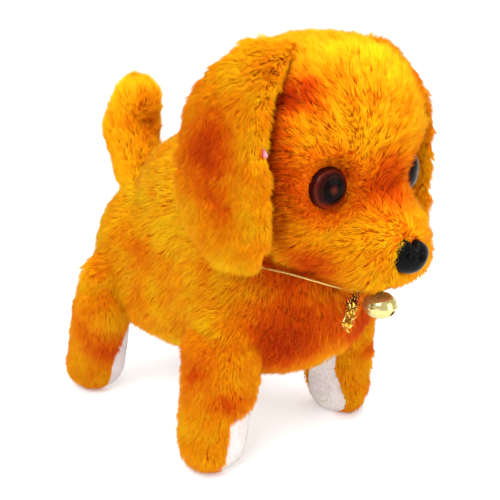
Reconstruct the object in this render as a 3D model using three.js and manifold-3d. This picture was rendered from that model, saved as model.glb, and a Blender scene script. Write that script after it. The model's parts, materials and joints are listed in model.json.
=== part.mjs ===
// A battery-driven walking plush dog: stuffed fur skins over a geared walking mechanism.
// Millimetres, +Z up. The dog looks along -Y, and its left side is +X. The origin is on the ground,
// under the centre of the toy's box.
import * as THREE from "three";
import { mergeVertices } from "three/addons/utils/BufferGeometryUtils.js";
import Module from "manifold-3d";

const wasm = await Module();
wasm.setup();

// ---------------------------------------------------------------- driving dimensions
const GAP = 0.3; // between pieces that touch
const FIT = 0.4; // round a piece that is set into soft filling

// The plastic mechanism box
const CASE = { x: 21, front: -26, back: 54, bottom: 38, top: 86, wall: 1.8 };

// Walking gear: a crank shaft, two side rods and four leg levers
const CRANK = { y: 11, z: 68, throw: 3.75, shaft: 1.5, disc: 7 };
const LEG_PIVOT_Z = 50;
const LEG_FRONT_Y = -24;
const LEG_REAR_Y = 52;
const LEG_SWING = 12; // degrees each way
const STUB = 3; // radius of the moulded axle that a leg lever turns on
const YOKE_PLANE = [-4, -1.2];
const DISC_PLANE = [21.4, 23.2];
const ROD_PLANE = [24.2, 26.6];
const LEVER_PLANE = [27, 30.4];

// Gear train, all gears of one module. A small gear drives a large one in each stage.
const MODULE = 0.6;
const TEETH = { pinion: 8, small: 9, large: 30 };
const BACKLASH = 0.14; // added to each centre distance
const TRAIN_ANGLES = { two: 30, one: -5, motor: -20 }; // from each shaft to the next, in degrees

// The head nods up on a pin above the box, and the tail wags on a pin behind it
const NECK = { y: -20, z: 93, swing: 8 };
const TAIL = { y: 47, z: 89, swing: 18 };
const ECCENTRIC = { radius: 4.6, offset: 2.25 };

// Soft shapes as centre and radii
const BODY = [
  { at: [0, -16, 72], r: [40, 39, 38], power: 2.5 },
  { at: [0, 10, 82], r: [36, 38, 33], power: 2.2 },
  { at: [0, 43, 72], r: [36, 31, 32], power: 2.2 },
  { at: [0, 20, 66], r: [36.5, 46, 32], power: 3.2 },
  { at: [0, 10, 98], r: [32, 44, 30], power: 2.1 },
];
const HEAD = [
  { at: [0, -34, 131], r: [42, 36.5, 38.5], power: 2.4 },
  { at: [0, -44, 106], r: [36, 29, 23], power: 2.2 },
  { at: [0, -62, 98], r: [25, 22, 18.5], power: 2 },
  { at: [4, -66, 93], r: [25, 16, 12.3], power: 3.2 }, // the chin is sewn a little off the middle
];
const EYE = { at: [24.5, -63, 119.5], radius: 7.6, turn: 16 }; // turned out from straight ahead
const NOSE = { at: [0, -82.2, 95], r: [7.5, 6, 7] };
const EAR = { inner: 2, thick: 8, lining: 1.6, swing: 50, hingeX: 35, hingeZ: 164 };
const BELL = { y: -70.5, pivotZ: 78.8, drop: 5.8, radius: 6.2, halfHeight: 5 };
const CORD = 0.6; // radius of the collar

const BATTERY = { radius: 7.1, length: 49, x: 7.6, y: 14, z: 49 };

// ---------------------------------------------------------------- materials
const paint = (color, roughness, metalness = 0) => new THREE.MeshStandardMaterial({ color, roughness, metalness });
const FUR = paint(0xf59a0a, 0.95);
const LINING = paint(0xe9dfd6, 0.9);
const PINK = paint(0xe58a9c, 0.6);
const CASING = paint(0xe8e4da, 0.5);
const GEAR = paint(0xf4f4f0, 0.4);
const LEVER = paint(0xd9d4c8, 0.45);
const STEEL = paint(0xb8bcc0, 0.3, 1);
const GOLD = paint(0xe2c268, 0.2, 1);
const BLACK = paint(0x141414, 0.45);
const AMBER = paint(0x5a1a08, 0.1);
const BOARD = paint(0x1f6a3a, 0.5);
const CELL = paint(0x3b5f8f, 0.35);
const RED = paint(0xb3261e, 0.5);

// ---------------------------------------------------------------- geometry helpers
const rad = THREE.MathUtils.degToRad;

/** A closed three.js geometry as a solid that can be joined and cut. */
function solid(geometry) {
  const g = geometry.index ? geometry.toNonIndexed() : geometry.clone();
  for (const name of Object.keys(g.attributes)) if (name !== "position") g.deleteAttribute(name);
  const merged = mergeVertices(g, 1e-4);
  return new wasm.Manifold(
    new wasm.Mesh({
      numProp: 3,
      vertProperties: merged.attributes.position.array,
      triVerts: new Uint32Array(merged.index.array),
    }),
  );
}

/** A solid as a three.js geometry. */
function geometryOf(body) {
  const mesh = body.getMesh();
  const points = new Float32Array(mesh.numVert * 3);
  for (let i = 0; i < mesh.numVert; i++) {
    points.set(mesh.vertProperties.subarray(i * mesh.numProp, i * mesh.numProp + 3), i * 3);
  }
  const g = new THREE.BufferGeometry();
  g.setAttribute("position", new THREE.BufferAttribute(points, 3));
  g.setIndex(new THREE.BufferAttribute(mesh.triVerts, 1));
  g.computeVertexNormals();
  return g;
}

const join = (first, ...rest) => rest.reduce((sum, next) => sum.add(next), first);
const cut = (first, ...rest) => rest.reduce((left, next) => left.subtract(next), first);

/** A box between two corners. */
function box(x0, x1, y0, y1, z0, z1) {
  const g = new THREE.BoxGeometry(x1 - x0, y1 - y0, z1 - z0);
  return solid(g.translate((x0 + x1) / 2, (y0 + y1) / 2, (z0 + z1) / 2));
}

const ALONG = {
  x: new THREE.Matrix4().makeRotationZ(-Math.PI / 2),
  y: new THREE.Matrix4(),
  z: new THREE.Matrix4().makeRotationX(Math.PI / 2),
};

/** A round bar along an axis, from its start to its end on that axis, centred on the other two. */
function bar(axis, radius, start, end, centre, sides = 16, endRadius = radius) {
  const g = new THREE.CylinderGeometry(endRadius, radius, end - start, sides).applyMatrix4(ALONG[axis]);
  const at = { x: [(start + end) / 2, ...centre], y: [centre[0], (start + end) / 2, centre[1]] };
  at.z = [...centre, (start + end) / 2];
  return solid(g.translate(...at[axis]));
}

/** A ball with a radius for each axis. A power over 2 makes it boxier. */
function ball({ at, r, power = 2 }, grow = 0, across = 18, up = 12) {
  const g = new THREE.SphereGeometry(1, across, up).rotateX(Math.PI / 2);
  const p = g.attributes.position;
  const v = new THREE.Vector3();
  for (let i = 0; i < p.count; i++) {
    v.fromBufferAttribute(p, i);
    const size = (Math.abs(v.x) ** power + Math.abs(v.y) ** power + Math.abs(v.z) ** power) ** (-1 / power);
    p.setXYZ(i, v.x * size * (r[0] + grow), v.y * size * (r[1] + grow), v.z * size * (r[2] + grow));
  }
  return solid(g.translate(...at));
}

/** A limb between two points with a round end of its own radius at each. */
function limb(from, to, fromRadius, toRadius, sides = 14, steps = 4) {
  const a = new THREE.Vector3(...from);
  const b = new THREE.Vector3(...to);
  const length = a.distanceTo(b);
  const profile = [];
  for (let i = 0; i <= steps; i++) {
    const t = (i / steps) * (Math.PI / 2);
    profile.push(new THREE.Vector2(fromRadius * Math.sin(t), -fromRadius * Math.cos(t)));
  }
  for (let i = 0; i <= steps; i++) {
    const t = (i / steps) * (Math.PI / 2);
    profile.push(new THREE.Vector2(toRadius * Math.cos(t), length + toRadius * Math.sin(t)));
  }
  profile[0].x = 0;
  profile[profile.length - 1].x = 0;
  const turn = new THREE.Quaternion().setFromUnitVectors(
    new THREE.Vector3(0, 1, 0),
    b.clone().sub(a).normalize(),
  );
  const g = new THREE.LatheGeometry(profile, sides).applyQuaternion(turn);
  return solid(g.translate(...from));
}

/** A turned piece from [radius, height] pairs that start and end on the axis, which is +Y before placing. */
function turned(pairs, sides, matrix) {
  const g = new THREE.LatheGeometry(pairs.map(([x, y]) => new THREE.Vector2(x, y)), sides);
  return solid(g.applyMatrix4(matrix));
}

/** A tube along a smooth route. */
function tube(route, radius, steps, sides = 8, closed = false) {
  const curve = new THREE.CatmullRomCurve3(route.map((p) => new THREE.Vector3(...p)), closed);
  const section = new THREE.Shape();
  for (let i = 0; i < sides; i++) {
    const t = (i / sides) * 2 * Math.PI;
    const step = i ? "lineTo" : "moveTo";
    section[step](radius * Math.cos(t), radius * Math.sin(t));
  }
  return solid(new THREE.ExtrudeGeometry(section, { steps, extrudePath: curve }));
}

/** A flat outline of [y, z] points, extruded from x0 to x1. */
function plateX(outline, x0, x1) {
  const shape = new THREE.Shape(outline.map(([y, z]) => new THREE.Vector2(y, z)));
  const g = new THREE.ExtrudeGeometry(shape, { depth: x1 - x0, bevelEnabled: false, curveSegments: 6 });
  const toX = new THREE.Matrix4().makeBasis(
    new THREE.Vector3(0, 1, 0),
    new THREE.Vector3(0, 0, 1),
    new THREE.Vector3(1, 0, 0),
  );
  return solid(g.applyMatrix4(toX).translate(x0, 0, 0));
}

/** The outline of a straight link with round ends, from one [y, z] point to another. */
function linkOutline([y0, z0], [y1, z1], radius, steps = 6) {
  const along = Math.atan2(z1 - z0, y1 - y0);
  const points = [];
  for (let i = 0; i <= steps; i++) {
    const t = along - Math.PI / 2 + (i / steps) * Math.PI;
    points.push([y1 + radius * Math.cos(t), z1 + radius * Math.sin(t)]);
  }
  for (let i = 0; i <= steps; i++) {
    const t = along + Math.PI / 2 + (i / steps) * Math.PI;
    points.push([y0 + radius * Math.cos(t), z0 + radius * Math.sin(t)]);
  }
  return points;
}

/** A range on the x axis on one side of the dog: side is 1 on its left and -1 on its right. */
const onSide = (side, [near, far]) => (side > 0 ? [near, far] : [-far, -near]);

/** A solid turned about a line parallel to the x or z axis through a point. */
function turnedBy(body, axis, degrees, [x, y, z]) {
  const turn = [0, 0, 0];
  turn["xyz".indexOf(axis)] = degrees;
  return body.translate([-x, -y, -z]).rotate(turn).translate([x, y, z]);
}

// ---------------------------------------------------------------- the model
const dog = new THREE.Group();
const parts = {};

/** Adds a named mesh to a group of the model. */
function add(group, name, body, material) {
  if (!parts[group]) {
    parts[group] = new THREE.Group();
    parts[group].name = group;
    dog.add(parts[group]);
  }
  const mesh = new THREE.Mesh(geometryOf(body), material);
  mesh.name = name;
  parts[group].add(mesh);
}

// ---------------------------------------------------------------- gears
const ratio = (MODULE * (TEETH.small + TEETH.large)) / 2 + BACKLASH;
const firstStage = (MODULE * (TEETH.pinion + TEETH.large)) / 2 + BACKLASH;
const step = ([y, z], distance, degrees) => [
  y + distance * Math.cos(rad(degrees)),
  z + distance * Math.sin(rad(degrees)),
];
const CRANK_AT = [CRANK.y, CRANK.z];
const TWO_AT = step(CRANK_AT, ratio, TRAIN_ANGLES.two);
const ONE_AT = step(TWO_AT, ratio, TRAIN_ANGLES.one);
const MOTOR_AT = step(ONE_AT, firstStage, TRAIN_ANGLES.motor);

/** A spur gear in the plane from x0 to x1, with a tooth centred on the angle phase, in degrees. */
function gear(teeth, [y, z], x0, x1, phase) {
  const pitch = (MODULE * teeth) / 2;
  const tip = pitch + 0.8 * MODULE;
  const root = pitch - 1.15 * MODULE;
  const half = (0.44 * Math.PI) / (2 * teeth); // half a tooth's angle at the pitch circle is under a quarter pitch
  const outline = [];
  for (let i = 0; i < teeth; i++) {
    const middle = rad(phase) + (i * 2 * Math.PI) / teeth;
    for (const [radius, offset] of [
      [root, -2.2 * half],
      [tip, -0.7 * half],
      [tip, 0.7 * half],
      [root, 2.2 * half],
    ]) {
      outline.push([y + radius * Math.cos(middle + offset), z + radius * Math.sin(middle + offset)]);
    }
  }
  return plateX(outline, x0, x1);
}

/** The phase that puts a gap of a gear at an angle. */
const gapAt = (teeth, degrees) => degrees + 180 / teeth;

function addGears() {
  const { two, one, motor } = TRAIN_ANGLES;
  // The crank gear turns with the shaft, and its eccentric works in the neck lever's yoke.
  const crankGear = join(
    gear(TEETH.large, CRANK_AT, 1, 4, gapAt(TEETH.large, two)),
    bar("x", ECCENTRIC.radius, YOKE_PLANE[1] + GAP, 1.1, [CRANK.y, CRANK.z + ECCENTRIC.offset], 20),
  );
  add("crank", "crank_gear", cut(crankGear, bar("x", CRANK.shaft + 0.02, -9, 9, CRANK_AT, 12)), GEAR);
  // Gear two: its small gear drives the crank gear.
  const gearTwo = join(
    gear(TEETH.small, TWO_AT, 1, 6.2, 180 + two),
    gear(TEETH.large, TWO_AT, 6, 9, gapAt(TEETH.large, one)),
  );
  add("gear_two", "gear_two", cut(gearTwo, bar("x", 1.05, -1, 19, TWO_AT, 12)), GEAR);
  // Gear one: its small gear drives gear two.
  const gearOne = join(
    gear(TEETH.small, ONE_AT, 6, 11.2, 180 + one),
    gear(TEETH.large, ONE_AT, 11, 14, gapAt(TEETH.large, motor)),
  );
  add("gear_one", "gear_one", cut(gearOne, bar("x", 1.05, -1, 19, ONE_AT, 12)), GEAR);
  add(
    "rotor",
    "motor_pinion",
    join(gear(TEETH.pinion, MOTOR_AT, 11, 15, 180 + motor), bar("x", 1, 9.6, 11.5, MOTOR_AT, 10)),
    STEEL,
  );
  add("frame", "gear_axle_one", bar("x", 1, 1, 18.9, ONE_AT, 10), STEEL);
  add("frame", "gear_axle_two", bar("x", 1, 0, 18.9, TWO_AT, 10), STEEL);
}

// ---------------------------------------------------------------- crank shaft and side rods
function addCrank() {
  const reach = DISC_PLANE[1] - 0.4;
  add("crank", "crank_shaft", bar("x", CRANK.shaft, -reach, reach, CRANK_AT, 12), STEEL);
  for (const [name, side] of [["left", 1], ["right", -1]]) {
    // The two cranks stand half a turn apart.
    const pinZ = CRANK.z + side * CRANK.throw;
    const [d0, d1] = onSide(side, DISC_PLANE);
    const [p0, p1] = onSide(side, [DISC_PLANE[1] - 0.5, ROD_PLANE[0] - GAP]);
    const disc = join(
      bar("x", CRANK.disc, d0, d1, CRANK_AT, 20),
      bar("x", 1.5, p0, p1, [CRANK.y, pinZ], 10),
    );
    const hole = bar("x", CRANK.shaft + 0.02, ...onSide(side, [20, reach + GAP]), CRANK_AT, 12);
    add("crank", `crank_disc_${name}`, cut(disc, hole), GEAR);

    // A side rod joins the tops of the two levers on its side, and has a slot for the crank pin.
    const [r0, r1] = onSide(side, ROD_PLANE);
    const rod = join(
      plateX(linkOutline([LEG_FRONT_Y, CRANK.z], [LEG_REAR_Y, CRANK.z], 3.2), r0, r1),
      plateX(linkOutline([CRANK.y, CRANK.z - 5], [CRANK.y, CRANK.z + 5], 4.5), r0, r1),
    );
    const [h0, h1] = [r0 - 1, r1 + 1];
    const slot = plateX(linkOutline([CRANK.y, CRANK.z - 4.5], [CRANK.y, CRANK.z + 4.5], 1.9), h0, h1);
    const eyes = [LEG_FRONT_Y, LEG_REAR_Y].map((y) => bar("x", 1.8, h0, h1, [y, CRANK.z], 12));
    add(`rod_${name}`, `side_rod_${name}`, cut(rod, slot, ...eyes), LEVER);
  }
}

// ---------------------------------------------------------------- legs
// The stuffed rear feet are not quite alike, and the levers inside them are. sole is the y of a lever's lower end.
const LEGS = [
  { name: "front_left", side: 1, y: LEG_FRONT_Y, top: [35.5, LEG_FRONT_Y], foot: [38.5, -23], sole: -23 },
  { name: "front_right", side: -1, y: LEG_FRONT_Y, top: [35.5, LEG_FRONT_Y], foot: [38.5, -23], sole: -23 },
  { name: "rear_left", side: 1, y: LEG_REAR_Y, top: [34.5, 54], foot: [34, 59], sole: 63 },
  { name: "rear_right", side: -1, y: LEG_REAR_Y, top: [34.5, 54], foot: [25.5, 70.5], sole: 63 },
];
const LEG_RADIUS = { top: 15, foot: 13.5 };

/** The whole soft leg, grown by a margin. */
function legSolid({ side, top, foot }, grow = 0) {
  const sides = grow ? 10 : 16;
  const from = [side * top[0], top[1], LEG_PIVOT_Z];
  const to = [side * foot[0], foot[1], LEG_RADIUS.foot - 1];
  return limb(from, to, LEG_RADIUS.top + grow, LEG_RADIUS.foot + grow, sides, grow ? 2 : 4);
}

/** The plastic lever in a leg, from its rod pin down to its foot plate, grown by a margin. */
function leverSolid({ side, y, sole }, grow = 0) {
  const [x0, x1] = onSide(side, [LEVER_PLANE[0] - grow, LEVER_PLANE[1] + grow]);
  return join(
    plateX(linkOutline([y, LEG_PIVOT_Z], [y, CRANK.z], 4.2 + grow, 5), x0, x1),
    plateX(linkOutline([y, LEG_PIVOT_Z], [sole, 12], 5 + grow, 5), x0, x1),
  );
}

function addLegs() {
  for (const leg of LEGS) {
    const { name, side, y } = leg;
    const pivot = [y, LEG_PIVOT_Z];
    const [p0, p1] = onSide(side, [ROD_PLANE[0], LEVER_PLANE[0] + 0.5]);
    const [b0, b1] = onSide(side, [CASE.x, LEVER_PLANE[1] + 2]);
    const bore = bar("x", STUB + 0.3, b0, b1, pivot, 16);
    const lever = join(leverSolid(leg), bar("x", 1.5, p0, p1, [y, CRANK.z], 12));
    add(`leg_${name}`, `leg_lever_${name}`, cut(lever, bore), LEVER);

    const [s0, s1] = onSide(side, [CASE.x, LEVER_PLANE[1] + 1.2]);
    const stubHole = bar("x", STUB + 0.8, s0, s1, pivot, 14);
    const ground = box(-90, 90, -120, 120, -20, 0);
    const room = CASE.x + 2; // clear of the mechanism box and its screws
    const boxRoom = box(-room, room, CASE.front - 4, CASE.back + 4, CASE.bottom - 3, CASE.top);
    const stuffed = cut(legSolid(leg), leverSolid(leg, FIT), stubHole, ground, boxRoom);
    const seam = (LEVER_PLANE[0] + LEVER_PLANE[1]) / 2;
    const [o0, o1] = onSide(side, [seam + GAP / 2, 80]);
    const [i0, i1] = onSide(side, [0, seam - GAP / 2]);
    add(`leg_${name}`, `leg_plush_${name}`, stuffed.intersect(box(o0, o1, -120, 120, -1, 120)), FUR);
    add(`leg_${name}`, `leg_lining_${name}`, stuffed.intersect(box(i0, i1, -120, 120, -1, 120)), LINING);
  }
}

// ---------------------------------------------------------------- mechanism box
function addCasing() {
  const { x, front, back, bottom, top, wall } = CASE;
  const doorEdge = { x: 17.2, front: -17, back: 45 };
  const shell = cut(
    box(-x, x, front, back, bottom, top),
    box(-x + wall, x - wall, front + wall, back - wall, bottom + wall, top - wall),
    box(-doorEdge.x, doorEdge.x, doorEdge.front, doorEdge.back, bottom - 1, bottom + 4), // battery door
    box(-4, 4, -23.5, -18.5, bottom - 1, bottom + 4), // switch
    box(-5, 0, CRANK.y - 4, CRANK.y + 3, top - 4, top + 1), // neck lever's stem
    bar("x", CRANK.shaft + 0.3, -x - 1, x + 1, CRANK_AT, 14),
    ...[-6, 0, 6].map((h) => bar("y", 1.2, front - 1, front + 4, [h, 72], 8)), // sound holes
  );
  const lugs = [1, -1].map((s) => {
    const [l0, l1] = onSide(s, [4.6, 8]);
    return plateX([[NECK.y - 4, top - 0.5], [NECK.y + 4, top - 0.5], [NECK.y + 3, 97], [NECK.y - 3, 97]], l0, l1);
  });
  const stubs = LEGS.map(({ side, y }) => {
    const [s0, s1] = onSide(side, [x - 0.5, LEVER_PLANE[1] + 0.8]);
    return bar("x", STUB, s0, s1, [y, LEG_PIVOT_Z], 16);
  });
  const whole = cut(
    join(shell, ...lugs, ...stubs),
    bar("x", 1.35, -12, 12, [NECK.y, NECK.z], 12),
    bar("z", 2.02, top - 6, 100, [0, TAIL.y], 12),
  );
  for (const [name, side] of [["left", 1], ["right", -1]]) {
    const [h0, h1] = onSide(side, [GAP / 2, 60]);
    const half = whole.intersect(box(h0, h1, -120, 120, 0, 120));
    add("frame", `casing_${name}`, cut(half, ...screwHoles(side)), CASING);
  }
  const pin = join(
    bar("z", 2, top - 1.5, TAIL.z + 5, [0, TAIL.y], 12),
    bar("z", 3, TAIL.z + 4.5, TAIL.z + 6, [0, TAIL.y], 12),
  );
  add("frame", "tail_pin", pin, STEEL);
  add("frame", "neck_pin", bar("x", 1.3, -9.5, 9.5, [NECK.y, NECK.z], 12), STEEL);
}

const SCREWS = [
  { name: "front", y: -17.5, z: 55 },
  { name: "rear", y: 50, z: 58 },
];
const screwHoles = (side) => (side < 0 ? SCREWS.map(({ y, z }) => bar("x", 1.3, -30, -10, [y, z], 10)) : []);

function addScrews() {
  for (const { name, y, z } of SCREWS) {
    const head = bar("x", 2.4, -CASE.x - 1.6, -CASE.x - GAP, [y, z], 12);
    const cross = join(
      box(-CASE.x - 2, -CASE.x - 1, y - 1.4, y + 1.4, z - 0.3, z + 0.3),
      box(-CASE.x - 2, -CASE.x - 1, y - 0.3, y + 0.3, z - 1.4, z + 1.4),
    );
    add("frame", `casing_screw_${name}`, cut(join(head, bar("x", 1, -CASE.x - 1, -12, [y, z], 10)), cross), STEEL);
  }
}

// ---------------------------------------------------------------- electrics
function addElectrics() {
  const { x: bx, y: by, z: bz, radius, length } = BATTERY;
  const half = length / 2;
  const inside = { x: 16, front: by - half - 4, back: by + half + 2.5, top: bz + radius + 0.4 };
  const tray = cut(
    box(-inside.x - 1, inside.x + 1, inside.front - 1, inside.back + 1, CASE.bottom + 3.4, inside.top + 1),
    box(-inside.x, inside.x, inside.front, inside.back, CASE.bottom, inside.top),
  );
  add("frame", "battery_box", tray, BLACK);
  for (const [name, side] of [["left", 1], ["right", -1]]) {
    const nub = side > 0 ? [by + half - 0.5, by + half + 1.4] : [by - half - 1.4, by - half + 0.5];
    const cell = join(
      bar("y", radius, by - half, by + half, [side * bx, bz], 18),
      bar("y", 2.6, ...nub, [side * bx, bz], 10),
    );
    add("frame", `battery_${name}`, cell, CELL);
    const wire = [];
    for (let i = 0; i <= 16; i++) {
      const t = (i / 16) * 2 * Math.PI * 2;
      wire.push([side * bx + 3 * Math.cos(t), inside.front + 0.9 + (i / 16) * 1.7, bz + 3 * Math.sin(t)]);
    }
    const plate = box(side * bx - 5, side * bx + 5, inside.front + 0.2, inside.front + 0.7, bz - 5, bz + 6);
    const contact = side > 0 ? join(plate, tube(wire, 0.4, 32, 5)) : join(plate, bar("y", 1.5, inside.front + 0.5, inside.front + 1.4, [side * bx, bz], 10));
    add("frame", `battery_contact_${name}`, contact, STEEL);
  }
  add("frame", "battery_bridge", box(-13, 13, inside.back - 0.7, inside.back - 0.2, bz - 5, bz + 5), STEEL);

  // Motor: a can with two flats and a plastic end cap
  const [my, mz] = MOTOR_AT;
  const can = bar("x", 10, -14, 8.5, MOTOR_AT, 20).intersect(box(-20, 20, my - 7.4, my + 7.4, mz - 12, mz + 12));
  const collar = bar("x", 3, 8, 9.2, MOTOR_AT, 14);
  add("frame", "motor", join(can, collar, bar("x", 7, -16.5, -13.5, MOTOR_AT, 16)), STEEL);

  // Loudspeaker behind the sound holes, and the sound board
  const coneY = CASE.front + CASE.wall + GAP;
  const speaker = join(
    bar("y", 12, coneY, coneY + 2.4, [0, 72], 20),
    bar("y", 8, coneY + 2, coneY + 5, [0, 72], 16, 9),
    bar("y", 5, coneY + 4.8, coneY + 8, [0, 72], 14),
  );
  add("frame", "speaker", speaker, BLACK);
  const board = join(
    box(-17, 17, -8, -6.6, 60.5, 80),
    bar("y", 4, -6.8, -5.2, [6, 70], 12),
    box(-13, -8, -6.8, -3.8, 64, 69),
    box(-5, -2, -6.8, -4.6, 72, 77),
  );
  add("frame", "sound_board", board, BOARD);

  // Power switch in the belly, and its sliding knob
  const body = cut(
    box(-7, 7, -23.2, -18.8, CASE.bottom + CASE.wall + GAP, 46),
    box(-4, 4, -22, -20, CASE.bottom, 44),
  );
  add("frame", "switch_body", body, STEEL);
  const knob = join(box(-3.4, -0.4, -22.6, -19.4, CASE.bottom - 1.6, CASE.bottom + 1.2), box(-3, -0.8, -21.6, -20.4, CASE.bottom + 1, 43));
  add("switch", "switch_knob", knob, BLACK);

  // Leads along their routes inside the box
  const lead = (name, route, steps, material) => add("frame", name, tube(route, 0.6, steps, 6), material);
  lead("lead_battery", [[15, -16.2, 58.5], [17, -13, 62], [15, -9.6, 64]], 8, RED);
  lead("lead_motor", [[-17.4, 46, 74], [-18, 40, 70], [-17.8, 10, 64], [-16.8, -4, 66], [-15, -5.8, 72]], 20, BLACK);
}

function addDoor() {
  const { bottom, wall } = CASE;
  const door = join(
    box(-16.8, 16.8, -16.6, 44.6, bottom, bottom + wall),
    box(-6, 6, -18.6, -16, bottom + wall + GAP, bottom + wall + 1.2),
    box(-6, 6, -16.6, -14, bottom, bottom + wall + 1.2),
    ...[0, 1, 2, 3].map((i) => box(-10, 10, 26 + i * 3, 27.2 + i * 3, bottom - 0.6, bottom + 0.2)),
  );
  const hole = bar("z", 1.35, bottom - 1, bottom + 3, [0, 41.5], 12);
  add("door", "battery_door", cut(door, hole), CASING);
  const screw = join(bar("z", 2.4, bottom - 1.5, bottom - GAP, [0, 41.5], 12), bar("z", 1, bottom - 1, bottom + 3, [0, 41.5], 10));
  add("door", "door_screw", cut(screw, box(-1.6, 1.6, 41.2, 41.8, bottom - 2, bottom - 1)), STEEL);
}

// ---------------------------------------------------------------- head
const EYE_PLACES = [["left", 1], ["right", -1]].map(([name, side]) => {
  const turn = new THREE.Matrix4().makeRotationZ(side * rad(EYE.turn));
  const forward = new THREE.Matrix4().makeRotationX(Math.PI); // the lathe's +Y looks along -Y
  const at = new THREE.Matrix4().makeTranslation(side * EYE.at[0], EYE.at[1], EYE.at[2]);
  return { name, side, matrix: at.multiply(turn).multiply(forward) };
});

const eyeProfile = (g) => [
  [0, -11 - g], [2 + g, -11 - g], [2 + g, -1.5], [EYE.radius + g, -1.5 - g], [EYE.radius + g, 0],
  [EYE.radius * 0.88 + g, 2], [EYE.radius * 0.55 + g, 3.8 + g], [0, 4.6 + g],
];

/** The soft head, grown by a margin. */
const headSolid = (grow = 0, across = 18, up = 12) => join(...HEAD.map((shape) => ball(shape, grow, across, up)));

function neckLever(grow = 0) {
  const [x0, x1] = [-4 - grow, 4 + grow];
  return join(
    plateX(linkOutline([NECK.y, NECK.z], [-32, 124], 3.4 + grow, 5), x0, x1),
    bar("y", 12 + grow, -35.5 - grow, -32.5 + grow, [0, 124], 16),
  );
}

function addHead() {
  // A stem from the back of the lever carries a yoke, and the eccentric rocks it up and down.
  const [x0, x1] = YOKE_PLANE;
  const yoke = { y: CRANK.y, z: CRANK.z + ECCENTRIC.offset, reach: ECCENTRIC.radius + 0.2 };
  const slot = linkOutline([yoke.y - 2, yoke.z], [yoke.y + 4, yoke.z], yoke.reach);
  const arm = cut(
    join(
      box(x0, x1, NECK.y, yoke.y + 1.5, NECK.z - 2, NECK.z + 1),
      box(x0, x1, yoke.y - 1.5, yoke.y + 1.5, yoke.z + yoke.reach + 0.5, NECK.z),
      plateX(linkOutline([yoke.y - 2, yoke.z], [yoke.y + 4, yoke.z], yoke.reach + 1.9), x0, x1),
    ),
    plateX(slot, x0 - 1, x1 + 1),
  );
  const lever = cut(join(neckLever(), arm), bar("x", 1.6, -12, 12, [NECK.y, NECK.z], 12));
  add("head", "neck_lever", lever, LEVER);

  const eyes = EYE_PLACES.map(({ matrix }) => turned(eyeProfile(FIT), 14, matrix));
  const noseHole = join(ball(NOSE, FIT, 14, 8), bar("y", 2 + FIT, -79, -66, [0, NOSE.at[2]], 10));
  // The neck opening leaves room for the box's corner, its lugs and the levers.
  const neckHole = join(
    box(-13, 13, NECK.y - 9, 20, 70, 106),
    box(-CASE.x - 3, CASE.x + 3, CASE.front - 4, 30, 70, CASE.top + 7),
  );
  add("head", "head_plush", cut(headSolid(), ...eyes, noseHole, neckHole, neckLever(FIT)), FUR);

  for (const { name, matrix } of EYE_PLACES) {
    add("head", `eye_${name}`, turned(eyeProfile(0), 16, matrix), AMBER);
  }
  const nostrils = [1, -1].map((s) => ball({ at: [s * 3, -88.2, 96.5], r: [1.3, 2, 1.2] }, 0, 8, 6));
  const notch = ball({ at: [0, -86, 102.5], r: [1.6, 4, 2] }, 0, 8, 6);
  const nose = join(ball(NOSE, 0, 16, 10), bar("y", 2, -79, -66.4, [0, NOSE.at[2]], 10));
  add("head", "nose", cut(nose, ...nostrils, notch), BLACK);
}

// ---------------------------------------------------------------- ears
function addEars() {
  const [skull] = HEAD;
  const waist = skull.at[2];
  const column = { ...skull, r: [skull.r[0], skull.r[1], 600] };
  const outline = new THREE.Shape();
  outline.moveTo(-46, 165.5);
  outline.bezierCurveTo(-51, 148, -53, 130, -52.5, 114);
  outline.bezierCurveTo(-52, 102, -49, 95.5, -43, 95.5);
  outline.bezierCurveTo(-34, 95.5, -22, 104, -17, 113);
  outline.bezierCurveTo(-11, 124, -12, 146, -22, 165.5);
  const points = outline.getPoints(4).map(({ x, y }) => [x, y]);
  for (const [name, side] of [["left", 1], ["right", -1]]) {
    const [f0, f1] = onSide(side, [EAR.hingeX, 80]);
    const flap = plateX(points, f0, f1);
    // Above the skull's waist the ear follows its dome, and below it hangs straight down.
    const outer = EAR.inner + EAR.thick;
    const above = cut(ball(skull, outer, 22, 14), ball(skull, EAR.inner, 22, 14), box(-90, 90, -90, 60, 0, waist));
    const hanging = cut(ball(column, outer, 22, 14), ball(column, EAR.inner, 22, 14), box(-90, 90, -90, 60, waist + 0.01, 800));
    const ear = join(above, hanging).intersect(flap);
    const inset = (scale) => plateX(points.map(([y, z]) => [(y + 34) * scale - 34, (z - 124) * scale + 120]), f0, f1);
    const layer = cut(ball(column, EAR.inner + EAR.lining, 22, 14), ball(column, EAR.inner, 22, 14));
    const panel = layer.intersect(inset(0.84)).intersect(box(-90, 90, -90, 60, 0, waist - 4));
    const recess = cut(ball(column, EAR.inner + EAR.lining + GAP, 22, 14), ball(column, 0, 22, 14));
    const seat = recess.intersect(inset(0.86)).intersect(box(-90, 90, -90, 60, 0, waist - 4 + GAP));
    add(`ear_${name}`, `ear_plush_${name}`, cut(ear, seat), FUR);
    add(`ear_${name}`, `ear_lining_${name}`, panel, PINK);
  }
}

// ---------------------------------------------------------------- tail
const TAIL_LIMBS = [
  [[0, 70, 98], [0, 76.2, 120], 10, 12],
  [[0, 76.2, 120], [0, 71, 134], 12, 10],
];
const tailSolid = (grow = 0) => join(...TAIL_LIMBS.map(([a, b, ra, rb]) => limb(a, b, ra + grow, rb + grow, 10, grow ? 2 : 3)));

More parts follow.
